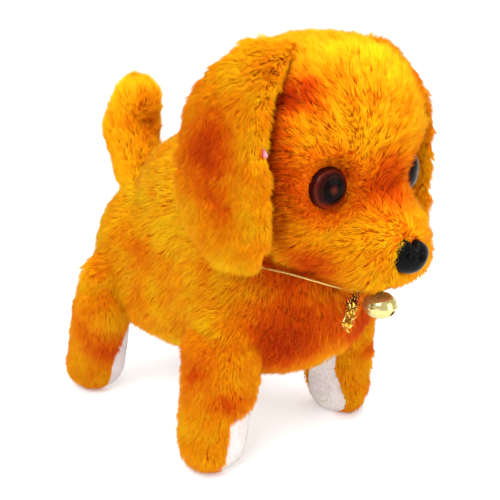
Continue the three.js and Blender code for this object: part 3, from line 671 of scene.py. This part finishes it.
def sample(obj, count, rng, keep=None):
    """Random points on a skin, with their normals, in millimetres. keep(points, normals) says which may
    stay."""
    co, normals, tri = arrays(obj.data)
    a, b, c = co[tri[:, 0]], co[tri[:, 1]], co[tri[:, 2]]
    area = np.linalg.norm(np.cross(b - a, c - a), axis=1)
    pick = rng.choice(len(tri), size=count, p=area / area.sum())
    u, v = rng.random(count), rng.random(count)
    flip = u + v > 1
    u[flip], v[flip] = 1 - u[flip], 1 - v[flip]
    w = 1 - u - v
    t = tri[pick]
    p = co[t[:, 0]] * w[:, None] + co[t[:, 1]] * u[:, None] + co[t[:, 2]] * v[:, None]
    n = unit(normals[t[:, 0]] * w[:, None] + normals[t[:, 1]] * u[:, None] + normals[t[:, 2]] * v[:, None])
    p = p / MM
    if keep is not None:
        ok = keep(p, n)
        p, n = p[ok], n[ok]
    return p, n


def sway_at(p, scale):
    """A smooth wandering direction, so that neighbouring strands lie together in locks."""
    return np.stack([noise_at(p, scale, 31), noise_at(p, scale, 57), noise_at(p, scale, 83)], 1)


MOST_STRANDS = 33000  # in one piece, which keeps it under 200,000 triangles


TUFT = 14  # strands, about
FLOOR_Z = 0.15  # no strand reaches lower


def strands(
    name, p, n, comb, length, tone, rng, lean=0.8, width=0.115, clump=0.5, sway=0.5, materials=FUR
):
    """Closed tapered strands from points p with normals n, in millimetres. comb is the way the pile lies, and
    tone the shade from 0 to 1. Returns the pieces."""
    count = len(p)
    comb = comb - n * np.sum(comb * n, axis=1, keepdims=True)
    comb = comb / np.linalg.norm(comb, axis=1, keepdims=True).clip(0.35)
    length = length * rng.uniform(0.75, 1.12, count)
    wild = rng.normal(0, 0.15, (count, 3)) + sway * sway_at(p, 4.5)
    first = unit(n + comb * lean * 0.8 + wild)
    second = unit(first * 0.9 + comb * lean + wild * 0.7 + np.array([0, 0, -0.1]))
    root = p - n * 0.6
    middle = root + first * (length * 0.42)[:, None]
    tip = middle + second * (length * 0.62)[:, None]
    # Neighbouring tips draw together into tufts, each with a shade of its own.
    heads = rng.choice(count, size=max(1, count // TUFT), replace=False)
    tree = kdtree.KDTree(len(heads))
    for i, h in enumerate(heads):
        tree.insert(Vector(p[h]), i)
    tree.balance()
    near = np.array([tree.find(Vector(q))[1] for q in p])
    head = heads[near]
    gap = np.linalg.norm(p - p[head], axis=1)[:, None]
    pull = clump * rng.uniform(0.4, 1.0, count)[:, None] * np.clip(1.5 - gap / 2.2, 0.0, 1.0)
    tip = tip + (tip[head] - tip) * pull
    middle = middle + (middle[head] - middle) * pull * 0.35
    side = unit(np.cross(first, rng.normal(0, 1, (count, 3))))
    other = np.cross(first, side)
    w = (width * rng.uniform(0.75, 1.25, count))[:, None]
    verts = np.empty((count, 5, 3))
    verts[:, 0] = root
    for k in range(3):
        turn = k * 2 * math.pi / 3
        verts[:, 1 + k] = middle + (side * math.cos(turn) + other * math.sin(turn)) * w
    verts[:, 4] = tip
    verts[:, :, 2] = np.maximum(verts[:, :, 2], FLOOR_Z)
    corners = np.array([[0, 2, 1], [0, 3, 2], [0, 1, 3], [1, 2, 4], [2, 3, 4], [3, 1, 4]])
    last = len(materials) - 1
    tone = tone + rng.normal(0, 0.03, count) + rng.normal(0, 0.05, len(heads))[near]
    tip_shade = np.clip(np.round(tone * last), 0, last).astype(np.int32)
    # The root takes a deeper shade than the tip: painted shade for the depth of the pile.
    root_painted_shade = np.clip(np.round((tone + 0.16) * last), 0, last).astype(np.int32)
    order = np.argsort(p[:, 1] + 0.35 * p[:, 2], kind="stable")
    pieces = []
    parts = math.ceil(count / MOST_STRANDS)
    for k, chunk in enumerate(np.array_split(order, parts)):
        m = len(chunk)
        mesh = bpy.data.meshes.new(name)
        mesh.vertices.add(m * 5)
        mesh.vertices.foreach_set("co", (verts[chunk] * MM).ravel())
        loops = (np.arange(m) * 5)[:, None] + corners.ravel()[None, :]
        mesh.loops.add(m * 18)
        mesh.loops.foreach_set("vertex_index", loops.ravel().astype(np.int32))
        mesh.polygons.add(m * 6)
        mesh.polygons.foreach_set("loop_start", np.arange(0, m * 18, 3, dtype=np.int32))
        index = np.repeat(np.stack([root_painted_shade[chunk], tip_shade[chunk]], 1), 3, axis=1)
        for material in materials:
            mesh.materials.append(material)
        mesh.polygons.foreach_set("material_index", index.ravel())
        mesh.update(calc_edges=True)
        mesh.shade_smooth()
        obj = bpy.data.objects.new(name if parts == 1 else f"{name}_{'abcdefghij'[k]}", mesh)
        bpy.context.scene.collection.objects.link(obj)
        pieces.append(obj)
    return pieces


def near_point(points, at, reach):
    """1 at a point, falling smoothly to 0 at reach, which is a distance for each axis."""
    d = np.linalg.norm((points - np.array(at)) / np.array(reach), axis=1)
    k = np.clip(1 - d, 0, 1)
    return k * k * (3 - 2 * k)


def tone_of(p, shade_and_tone_zones, offset):
    """Mottled pile, darker or lighter in each zone of (centre on the dog's left, reach, amount), on both
    sides alike. The zones are mostly painted shade and light."""
    tone = 0.22 + 0.17 * noise_at(p, 13, offset) + 0.07 * noise_at(p, 5, offset + 9)
    folded = np.concatenate([np.abs(p[:, :1]), p[:, 1:]], axis=1)
    for at, reach, amount in shade_and_tone_zones:
        tone = tone + amount * near_point(folded, at, reach)
    return tone


STRANDS = {"body": 190000, "head": 130000, "leg": 38000, "nap": 44000, "tail": 33000, "ear": 80000}


def strand_count(part):
    """How many strands to sow on a part."""
    return STRANDS[part]


# Zones of tone in the pile, as (centre on the dog's left, reach, amount), mostly painted shade and light:
# deeper tones where shade falls on the chest, under the head and chin, under the belly, round the eyes,
# beside the ears, at the root of the tail, in the knee crease and low on the legs, and lighter tones where
# light falls on the back, rump, crown, muzzle, tail top and ear tops. Blotches on the flank and the legs are
# the pile's own, and the ears are also deeper in the middle and lighter at their lower tips.
BODY_SHADE_LIGHT_AND_BLOTCHES = [
    ((26, -48, 62), (24, 26, 38), 0.7), ((0, -58, 62), (30, 24, 34), 0.4), ((0, -36, 90), (60, 46, 16), 0.65),
    ((0, 10, 37), (60, 90, 10), 0.2), ((37, 28, 81), (12, 18, 13), 0.16), ((40, -20, 50), (18, 14, 16), 0.16),
    ((36, 10, 95), (20, 40, 24), -0.12), ((28, 62, 66), (26, 28, 30), -0.06),
]
HEAD_SHADE_AND_LIGHT = [
    ((0, -72, 117), (22, 16, 20), 0.5), ((24.5, -63, 119.5), (18, 22, 17), 0.62),
    ((40, -50, 124), (12, 18, 44), 0.6), ((29, -60, 92), (24, 18, 14), 0.5),
    ((0, -46, 82), (60, 36, 12), 0.55), ((0, -45, 168), (50, 50, 26), -0.12),
    ((0, -80, 106), (20, 16, 14), -0.1), ((33, -55, 150), (15, 13, 11), 0.75),
]
EAR_SHADE_LIGHT_AND_TONE = [
    ((52, -31, 132), (22, 23, 26), 0.46), ((36, -53, 146), (10, 8, 14), 0.2),
    ((50, -38, 114), (16, 14, 14), 0.18), ((50, -42, 92), (30, 26, 12), -0.2),
    ((36, -34, 164), (30, 26, 14), -0.12),
]
TAIL_SHADE_AND_LIGHT = [((0, 60, 122), (14, 14, 18), 0.3), ((0, 70, 140), (30, 30, 20), -0.08)]
FRONT_LEG_SHADE_AND_BLOTCHES = [
    ((49, -26, 47), (12, 14, 12), 0.26), ((44, -36, 36), (16, 12, 7), 0.36),
    ((40, -30, 4), (24, 20, 8), 0.16),
]
REAR_LEG_SHADE_AND_BLOTCHES = [((34, 50, 28), (18, 16, 26), 0.34), ((28, 66, 4), (24, 20, 8), 0.16)]


def fur_body():
    rng = np.random.default_rng(SEED)

    def keep(p, n):
        # Bare where the casing, the head and the legs cover the skin
        under = (np.abs(p[:, 0]) < 22.5) & (p[:, 1] > -27.5) & (p[:, 1] < 55.5) & (p[:, 2] < 86.7)
        covered = np.zeros(len(p), bool)
        for at, r, _ in HEAD:
            covered |= np.sum(((p - np.array(at)) / (np.array(r) - 5)) ** 2, axis=1) < 1
        for side, top, _ in LEGS.values():
            covered |= (np.hypot(p[:, 1] - top[1], p[:, 0] - side * top[0]) < 8) & (p[:, 2] < 47)
        return ~(under | covered)

    p, n = sample(body_skin, strand_count("body"), rng, keep)
    back = np.clip((p[:, 2] - 85) / 25, 0, 1)
    comb = np.stack([np.sign(p[:, 0]) * 0.15, 0.6 + 0.5 * back, -1.0 + 0.9 * back], 1)
    comb[:, 1:] += 0.3 * np.stack([noise_at(p, 14, 3), noise_at(p, 14, 5)], 1)
    comb[:, 1] *= 1 - near_point(p, (0, -58, 62), (46, 34, 44))
    length = 6.0 + 0.7 * noise_at(p, 18, 1) - 1.0 * (p[:, 2] < 44)
    # The pile is painted lighter towards the top of the back, for the light that falls there.
    return strands("body_fur", p, n, comb, length, tone_of(p, BODY_SHADE_LIGHT_AND_BLOTCHES, 0) - 0.06 * back, rng)


def fur_head():
    rng = np.random.default_rng(SEED + 1)

    def keep(p, n):
        # Bare under the nose and the eyes, and where the head meets the body
        ok = ~((np.hypot(p[:, 0], p[:, 2] - NOSE_AT[2]) < 6.0) & (p[:, 1] < -70))
        for centre, out in zip(EYE_CENTRES, EYE_OUT):
            ahead = (p - centre) @ out
            gap = np.linalg.norm(p - centre - np.outer(ahead, out), axis=1)
            ok &= ~((gap < EYE_R - 0.8) & (np.abs(ahead) < 10))
        return ok & ~((p[:, 2] < 92) & (p[:, 1] > -40))

    p, n = sample(head_skin, strand_count("head"), rng, keep)
    comb = unit(p - np.array([0, -84, 100.0])) + np.array([0, 0, -0.25])
    near_eye = np.zeros(len(p))
    for centre, out in zip(EYE_CENTRES, EYE_OUT):
        ahead = (p - centre) @ out
        off = p - centre - np.outer(ahead, out)
        k = np.clip(1 - (np.linalg.norm(off, axis=1) - EYE_R) / 9, 0, 1) * (np.abs(ahead) < 14)
        comb = comb * (1 - k[:, None]) + unit(off) * (k * 0.9)[:, None]
        near_eye = np.maximum(near_eye, k)
    comb[:, ::2] += 0.35 * np.stack([noise_at(p, 12, 2), noise_at(p, 12, 4)], 1)
    muzzle = near_point(p, (0, -84, 97), (30, 30, 28))
    length = 6.4 + 0.8 * noise_at(p, 15, 6) - 3.2 * near_eye - 2.4 * muzzle
    brow = near_point(p, (0, -70, 118), (20, 16, 18))
    crown = near_point(p, (-12, -18, 170), (30, 30, 18))
    length -= 1.4 * brow + 1.6 * crown
    chin = np.clip(-n[:, 2], 0, 1) * (p[:, 1] < -55)
    length = np.maximum(length, 5.2 * chin)
    comb = comb * (1 - 0.7 * chin[:, None])
    return strands("head_fur", p, n, comb, length, tone_of(p, HEAD_SHADE_AND_LIGHT, 20), rng, clump=0.6, sway=0.6)


def fur_leg(name, seed):
    rng = np.random.default_rng(seed)
    side = LEGS[name][0]

    def keep(p, n):
        return (p[:, 0] * side > lining_edge(name, p[:, 2]) + 0.3) & (p[:, 2] < 60)

    p, n = sample(leg_skins[name], strand_count("leg"), rng, keep)
    comb = np.tile(np.array([0, 0.1, -1.0]), (len(p), 1))
    comb[:, 1] += 0.5 * noise_at(p, 10, 8)
    low = np.clip(1 - p[:, 2] / 9, 0, 1)
    comb[:, 2] *= 1 - low
    edge = np.clip(1 - (p[:, 0] * side - lining_edge(name, p[:, 2])) / 4, 0, 1)
    length = 5.2 + 0.6 * noise_at(p, 10, 3) - 3.0 * low - 1.6 * edge
    shade_and_tone_zones = FRONT_LEG_SHADE_AND_BLOTCHES if name.startswith("front") else REAR_LEG_SHADE_AND_BLOTCHES
    return strands(f"leg_fur_{name}", p, n, comb, length, tone_of(p, shade_and_tone_zones, 30) + 0.06, rng, lean=0.75)


def nap_leg(name, seed):
    rng = np.random.default_rng(seed)
    side = LEGS[name][0]

    def keep(p, n):
        return (p[:, 0] * side <= lining_edge(name, p[:, 2])) & (p[:, 2] > 0.4) & (p[:, 2] < 60)

    p, n = sample(leg_skins[name], strand_count("nap"), rng, keep)
    comb = np.tile(np.array([0, 0.1, -1.0]), (len(p), 1))
    length = 1.5 - 0.8 * np.clip(1 - p[:, 2] / 4, 0, 1)
    # The nap turns darker and greyer low on the inside of the leg.
    darker_low_inside = near_point(p, (side * 26, LEGS[name][2][1] - 6, 16), (14, 12, 14))
    tone = 0.2 + 0.3 * noise_at(p, 8, 3) + 0.5 * darker_low_inside
    return strands(
        f"leg_nap_{name}", p, n, comb, length, tone, rng, width=0.09, clump=0.1, sway=0.3, materials=NAP
    )


def fur_tail():
    rng = np.random.default_rng(SEED + 20)

    def keep(p, n):
        # Bare where the body covers the tail's root
        return (p[:, 2] > 88) | (p[:, 2] > 82) & (p[:, 1] > 66)

    p, n = sample(tail_skin, strand_count("tail"), rng, keep)
    comb = np.tile(np.array([0, 0.15, 1.0]), (len(p), 1))
    comb += 0.35 * noise_at(p, 9, 7)[:, None] * np.array([1, 0.5, 0])
    length = 5.8 + 0.7 * noise_at(p, 12, 2)
    return strands("tail_fur", p, n, comb, length, tone_of(p, TAIL_SHADE_AND_LIGHT, 40), rng)


def fur_ear(name, side, seed):
    rng = np.random.default_rng(seed)

    def keep(p, n):
        # Bare inside, where the satin lies, but not on the front rim
        glimpse = (np.abs(p[:, 2] - GLIMPSE_Z) < 2.2) & (p[:, 1] < -51.5) & (n[:, 1] < -0.45) & (side < 0)
        inner_rim = (p[:, 1] < -46) | (p[:, 1] < -38) & (p[:, 2] > 146)
        return ((n[:, 0] * side > -0.3) | inner_rim) & ~glimpse

    p, n = sample(ear_skins[name], strand_count("ear"), rng, keep)
    comb = np.tile(np.array([side * 0.05, 0, -1.0]), (len(p), 1))
    comb[:, 0] += side * 0.9 * np.clip((p[:, 2] - 148) / 12, 0, 1)
    comb[:, 1] += 0.012 * (p[:, 1] + 34) + 0.35 * noise_at(p, 9, 12)
    low = np.clip((110 - p[:, 2]) / 16, 0, 1)
    length = 5.6 + 3.6 * low + 0.8 * noise_at(p, 10, 4)
    tone = tone_of(p, EAR_SHADE_LIGHT_AND_TONE, 50) + 0.05
    return strands(f"ear_fur_{name}", p, n, comb, length, tone, rng, clump=0.7, sway=0.7)


furs = {
    "body": fur_body(),
    "head": fur_head(),
    "tail": fur_tail(),
    "ear_left": fur_ear("left", 1, SEED + 30),
    "ear_right": fur_ear("right", -1, SEED + 31),
}
for i, leg in enumerate(LEGS):
    furs[f"leg_{leg}"] = fur_leg(leg, SEED + 40 + i) + nap_leg(leg, SEED + 50 + i)


# ------------------------------------------------------------------ eyes, nose
def lathe(name, profile, sides, material, matrix):
    """A turned piece. profile is (radius, height) pairs from axis to axis in millimetres."""
    bm = bmesh.new()
    rows = []
    for r, h in profile:
        if r < 1e-6:
            rows.append([bm.verts.new(matrix @ Vector((0, 0, h * MM)))])
        else:
            angles = [j / sides * 2 * math.pi for j in range(sides)]
            ring = [Vector((r * math.cos(t) * MM, r * math.sin(t) * MM, h * MM)) for t in angles]
            rows.append([bm.verts.new(matrix @ point) for point in ring])
    for one, two in zip(rows, rows[1:]):
        for j in range(sides):
            k = (j + 1) % sides
            quad = [one[j % len(one)], one[k % len(one)], two[k % len(two)], two[j % len(two)]]
            corners = []
            for v in quad:
                if v not in corners:
                    corners.append(v)
            if len(corners) > 2:
                bm.faces.new(corners)
    return from_bmesh(name, bm, [material])


def dome(radius, height, base, steps=14, power=2.0):
    """Profile points of a dome from its rim to its top."""
    points = []
    for i in range(steps + 1):
        t = i / steps * math.pi / 2
        points.append((radius * math.cos(t) ** (2 / power), base + height * math.sin(t) ** (2 / power)))
    points[-1] = (0.0, base + height)
    return points


EYE_HIGH, EYE_POWER = 4.2, 2.15
# Profiles of the dome's rim, and of the stem and washer behind it
EYE_RIM = [(0, -1.5), (EYE_R - 0.8, -1.5), (EYE_R - 0.2, -1.1), (EYE_R, -0.5)]
EYE_STEM = [(0, -10.8), (2.0, -10.8), (2.0, -3.0), (7.0, -2.6), (7.2, -1.9), (0, -1.8)]


def make_eyes():
    for name, s in (("left", 1), ("right", -1)):
        out = Vector((s * math.sin(EYE_TURN), -math.cos(EYE_TURN), 0))
        turn = Vector((0, 0, 1)).rotation_difference(out).to_matrix().to_4x4()
        place = Matrix.Translation(Vector((s * EYE_AT[0], EYE_AT[1], EYE_AT[2])) * MM) @ turn
        profile = EYE_RIM + dome(EYE_R, EYE_HIGH, 0.0, 18, EYE_POWER)
        glass = lathe(f"eye_dome_{name}", profile, 64, EYE_GLASS, Matrix.Identity(4))
        back = lathe(f"eye_back_{name}", EYE_STEM, 48, WASHER, Matrix.Identity(4))
        for piece in (glass, back):
            piece.matrix_world = place
            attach(piece, "head")
        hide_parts(f"eye_{name}")


NOSE_R, NOSE_POWER = (7.7, 5.6, 6.5), 2.3


def make_nose():
    bm = bmesh.new()
    turn = Matrix.Rotation(NOSE_TURN, 3, "Z") @ Matrix.Rotation(NOSE_ROLL, 3, "Y")
    made = bmesh.ops.create_icosphere(bm, subdivisions=5, radius=1.0)
    for v in made["verts"]:
        d = v.co.copy()
        k = sum(abs(x) ** NOSE_POWER for x in d) ** (-1 / NOSE_POWER)
        wide = 1.0 + 0.16 * d.z
        p = Vector((d.x * k * NOSE_R[0] * wide, d.y * k * NOSE_R[1], d.z * k * NOSE_R[2]))
        # A notch parts the top into two lobes, and a nostril opens in each.
        front = max(0.0, -d.y)
        notch = math.exp(-((p.x / 1.5) ** 2)) * math.exp(-(((p.z - 6.0) / 3.0) ** 2))
        p -= p.normalized() * notch * 2.2
        for s in (1, -1):
            hole = math.exp(-(((p.x - s * 2.6) / 1.2) ** 2) - (((p.z - 1.0) / 1.0) ** 2)) * front
            p.y += 2.2 * hole
            rim = math.exp(-(((p.x - s * 2.9) / 2.4) ** 2) - (((p.z - 1.4) / 2.2) ** 2)) * front
            p.y -= 0.6 * rim
        v.co = (Vector(NOSE_AT) + turn @ p) * MM
    nose = from_bmesh("nose_cap", bm, [NOSE])
    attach(nose, "head")
    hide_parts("nose")


make_eyes()
make_nose()


# ------------------------------------------------------------------ collar, tinsel and bell
COLLAR = [
    (0, -70.5, 78.8), (-14, -65, 81), (-26.5, -49, 85.3), (-38, -30, 89.5), (-35.5, -14, 99),
    (-30.5, -1, 112), (-19, 13, 124.5), (0, 18, 129.5), (19, 13, 124.5), (30.5, -1, 112),
    (35.5, -14, 99), (38, -30, 89), (26.5, -49, 84.6), (15, -65.5, 78.4),
]
COLLAR_TURNS = 150  # twists of the two plies round each other
PLY_R, PLY_OUT = 0.3, 0.27


def closed_route(points, count):
    """Evenly parametered points on a smooth closed curve through the given ones."""
    pts = np.array(points, float)
    n = len(pts)
    made = []
    for i in range(count):
        t = i / count * n
        k, f = int(t), t - int(t)
        a, b, c, d = (pts[(k + j) % n] for j in (-1, 0, 1, 2))
        made.append(
            0.5 * (2 * b + (c - a) * f + (2 * a - 5 * b + 4 * c - d) * f**2 + (3 * b - a - 3 * c + d) * f**3)
        )
    return np.array(made)


def make_collar():
    route = closed_route(COLLAR, 520)
    ahead = np.roll(route, -1, 0) - np.roll(route, 1, 0)
    ahead = unit(ahead)
    side = unit(np.cross(ahead, np.array([0, 0, 1.0])))
    over = np.cross(side, ahead)
    for ply in range(2):
        phase = np.arange(len(route)) / len(route) * 2 * math.pi * COLLAR_TURNS + ply * math.pi
        offset = PLY_OUT * (side * np.cos(phase)[:, None] + over * np.sin(phase)[:, None])
        curve = bpy.data.curves.new(f"collar_thread_{ply + 1}", "CURVE")
        curve.dimensions = "3D"
        curve.bevel_depth = PLY_R * MM
        curve.bevel_resolution = 1
        spline = curve.splines.new("POLY")
        spline.points.add(len(route) - 1)
        points = np.concatenate([(route + offset) * MM, np.ones((len(route), 1))], 1)
        spline.points.foreach_set("co", points.ravel())
        spline.use_cyclic_u = True
        curve.materials.append(THREAD)
        obj = bpy.data.objects.new(f"collar_thread_{ply + 1}", curve)
        bpy.context.scene.collection.objects.link(obj)
        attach(obj, "frame")
        if ply == 0:
            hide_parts("collar_cord")


FOILS = 380
FOIL_W, FOIL_T = 0.17, 0.03  # half the width and half the thickness of a strip of foil


def make_tinsel():
    """Short bent strips of foil, from the knot on the collar down to a loose end."""
    rng = np.random.default_rng(SEED + 60)
    knot = np.array([-13.5, -69.0, 79.5])
    end = np.array([-16.5, -68.0, 68.5])
    verts, faces, index = [], [], []
    for _ in range(FOILS):
        t = rng.random() ** 0.8
        centre = knot + (end - knot) * t + rng.normal(0, 0.9 + 0.5 * t, 3) * np.array([1, 0.7, 0.8])
        along = rng.normal(0, 1, 3) + np.array([0, 0, -1.2]) * t
        along /= np.linalg.norm(along)
        across = np.cross(along, rng.normal(0, 1, 3))
        across /= np.linalg.norm(across)
        lift = np.cross(along, across)
        half = rng.uniform(0.5, 1.2)
        start = len(verts)
        for a, bend in ((-half, 0.0), (0.0, 0.3), (half, 0.0)):
            for b in (-FOIL_W, FOIL_W):
                for c in (-FOIL_T, FOIL_T):
                    verts.append((centre + along * a + across * b + lift * (bend + c)) * MM)
        for a in (start, start + 4):
            faces += [(a, a + 4, a + 6, a + 2), (a + 1, a + 3, a + 7, a + 5)]
            faces += [(a, a + 1, a + 5, a + 4), (a + 2, a + 6, a + 7, a + 3)]
        faces += [(start, start + 2, start + 3, start + 1), (start + 8, start + 9, start + 11, start + 10)]
        # Strips near the top of the knot take the painted shadow, all but those of the bright shade.
        dark = len(TINSEL) - 1
        shade = int(rng.integers(dark))
        index += [dark if t < 0.4 and shade != TINSEL_BRIGHT else shade] * 10
    obj = make_object("tinsel_knot", verts, faces, TINSEL, smooth=False)
    obj.data.polygons.foreach_set("material_index", index)
    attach(obj, "frame")
    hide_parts("tinsel_tie")


BELL_Y, BELL_PIVOT_Z, BELL_DROP, BELL_R, BELL_HIGH = -70.5, 78.8, 5.8, 6.8, 5.0
BELL_WALL = 0.55
BELL_RIM = 0.045  # how far the rim stands out, over the radius
LOOP_R, LOOP_WIRE = 1.35, 0.35


def bell_profile(inset, rim, steps=48):
    """A squat ball with a raised rim where its two halves are pressed together."""
    points = []
    for i in range(steps + 1):
        t = -math.pi / 2 + i / steps * math.pi
        swell = 1 + rim * math.exp(-((math.degrees(t) / 5) ** 2))
        across = max(0.0, math.cos(t)) ** 0.85
        points.append(((BELL_R / (1 + BELL_RIM) - inset) * swell * across, (BELL_HIGH - inset) * math.sin(t)))
    points[0], points[-1] = (0.0, points[0][1]), (0.0, points[-1][1])
    return points


def make_bell():
    """A hollow shell with a slit and two round eyelets, and the wire loop that it hangs by."""
    centre = BELL_PIVOT_Z - BELL_DROP
    place = Matrix.Translation(Vector((0, BELL_Y, centre)) * MM)
    shell = lathe("bell", bell_profile(0, BELL_RIM), 72, GOLD, place)
    tools = [lathe("bell_hollow", bell_profile(BELL_WALL, 0), 48, BELL_HOLLOW_SHADE, place)]
    bm = bmesh.new()
    bmesh.ops.create_cube(bm, size=1.0)
    for v in bm.verts:
        v.co = Vector((v.co.x * 1.3, BELL_Y + v.co.y * 16, centre - 5.2 + v.co.z * 6.8)) * MM
    tools.append(from_bmesh("slit", bm, [BELL_HOLLOW_SHADE], smooth=False))
    for s in (1, -1):
        turn = Matrix.Translation(Vector((0, BELL_Y + s * 5.3, centre - 1.9)) * MM)
        turn = turn @ Matrix.Rotation(math.pi / 2, 4, "X")
        tools.append(lathe(f"eyelet_{s}", [(0, -3), (1.25, -3), (1.25, 3), (0, 3)], 24, BELL_HOLLOW_SHADE, turn))
    for tool in tools:
        mod = shell.modifiers.new("cut", "BOOLEAN")
        mod.operation = "DIFFERENCE"
        mod.solver = "EXACT"
        mod.object = tool
    apply_modifiers(shell)
    for tool in tools:
        bpy.data.objects.remove(tool)
    bm = bmesh.new()
    around, through = 32, 12
    loops = []
    for i in range(around):
        a = i / around * 2 * math.pi
        ring = []
        for j in range(through):
            b = j / through * 2 * math.pi
            reach = LOOP_R + LOOP_WIRE * math.cos(b)
            y, z = BELL_Y + reach * math.cos(a), BELL_PIVOT_Z + reach * math.sin(a)
            ring.append(bm.verts.new(Vector((LOOP_WIRE * math.sin(b), y, z)) * MM))
        loops.append(ring)
    for i in range(around):
        for j in range(through):
            one, two = loops[i], loops[(i + 1) % around]
            bm.faces.new((one[j], one[(j + 1) % through], two[(j + 1) % through], two[j]))
    loop = from_bmesh("bell_loop", bm, [GOLD])
    for piece in (shell, loop):
        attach(piece, "bell")
    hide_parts("bell_shell")


make_collar()
make_tinsel()
make_bell()

# ------------------------------------------------------------------ riding
for piece in [body_skin] + furs["body"]:
    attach(piece, "frame")
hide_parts("body_plush")

for piece in [head_skin] + furs["head"]:
    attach(piece, "head")
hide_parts("head_plush")

for name in ("left", "right"):
    for piece in [ear_skins[name]] + furs[f"ear_{name}"]:
        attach(piece, f"ear_{name}")
    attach(ear_linings[name], f"ear_{name}")
    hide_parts(f"ear_lining_{name}")
    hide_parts(f"ear_plush_{name}")

for piece in [tail_skin] + furs["tail"]:
    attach(piece, "tail")
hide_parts("tail_plush")

for leg in LEGS:
    for piece in [leg_skins[leg]] + furs[f"leg_{leg}"]:
        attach(piece, f"leg_{leg}")
    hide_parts(f"leg_plush_{leg}", f"leg_lining_{leg}")


# ------------------------------------------------------------------ studio
# The floor's curve up into the backdrop, as (y, z) in metres
SWEEP = [(-1.2, 0), (1.0, 0), (1.25, 0.03), (1.45, 0.12), (1.6, 0.3), (1.7, 0.6), (1.72, 2.0)]
FLOOR_HALF = 3
FLOOR_TURN = math.radians(-45)
FLOOR_GLOW, WORLD_GLOW = 0.3, 0.75
# (name, place, aim, size, watts), in metres
LIGHTS = [
    ("key", (-0.75, -0.35, 0.85), (0, 0, 0.08), 0.5, 9),
    ("top", (0.0, -0.1, 1.0), (0, 0, 0.08), 0.7, 7),
    ("front", (0.25, -0.9, 0.35), (0, 0, 0.09), 0.5, 2),
]


def make_studio():
    bm = bmesh.new()
    rows = [[bm.verts.new((x, y, z)) for x in (-FLOOR_HALF, FLOOR_HALF)] for y, z in SWEEP]
    for one, two in zip(rows, rows[1:]):
        bm.faces.new((one[0], one[1], two[1], two[0]))
    white = grained("studio_floor", srgb("e9e9e9"), srgb("eeeeee"), 0.9, 3, spread=0.05)
    floor_shader = white.node_tree.nodes["Principled BSDF"]
    floor_shader.inputs["Emission Color"].default_value = (1, 1, 1, 1)
    floor_shader.inputs["Emission Strength"].default_value = FLOOR_GLOW
    floor = from_bmesh("floor", bm, [white])
    floor.rotation_euler = (0, 0, FLOOR_TURN)

    world = bpy.data.worlds.new("studio")
    world.use_nodes = True
    background = world.node_tree.nodes["Background"]
    background.inputs["Color"].default_value = (1, 1, 1, 1)
    background.inputs["Strength"].default_value = WORLD_GLOW
    bpy.context.scene.world = world

    for name, at, to, size, power in LIGHTS:
        data = bpy.data.lights.new(name, "AREA")
        data.energy = power
        data.size = size
        obj = bpy.data.objects.new(name, data)
        obj.location = at
        obj.rotation_euler = (Vector(to) - Vector(at)).to_track_quat("-Z", "Y").to_euler()
        bpy.context.scene.collection.objects.link(obj)

    view = bpy.context.scene.view_settings
    view.view_transform = "Standard"
    view.look = "None"
    view.exposure = 0.0


make_studio()
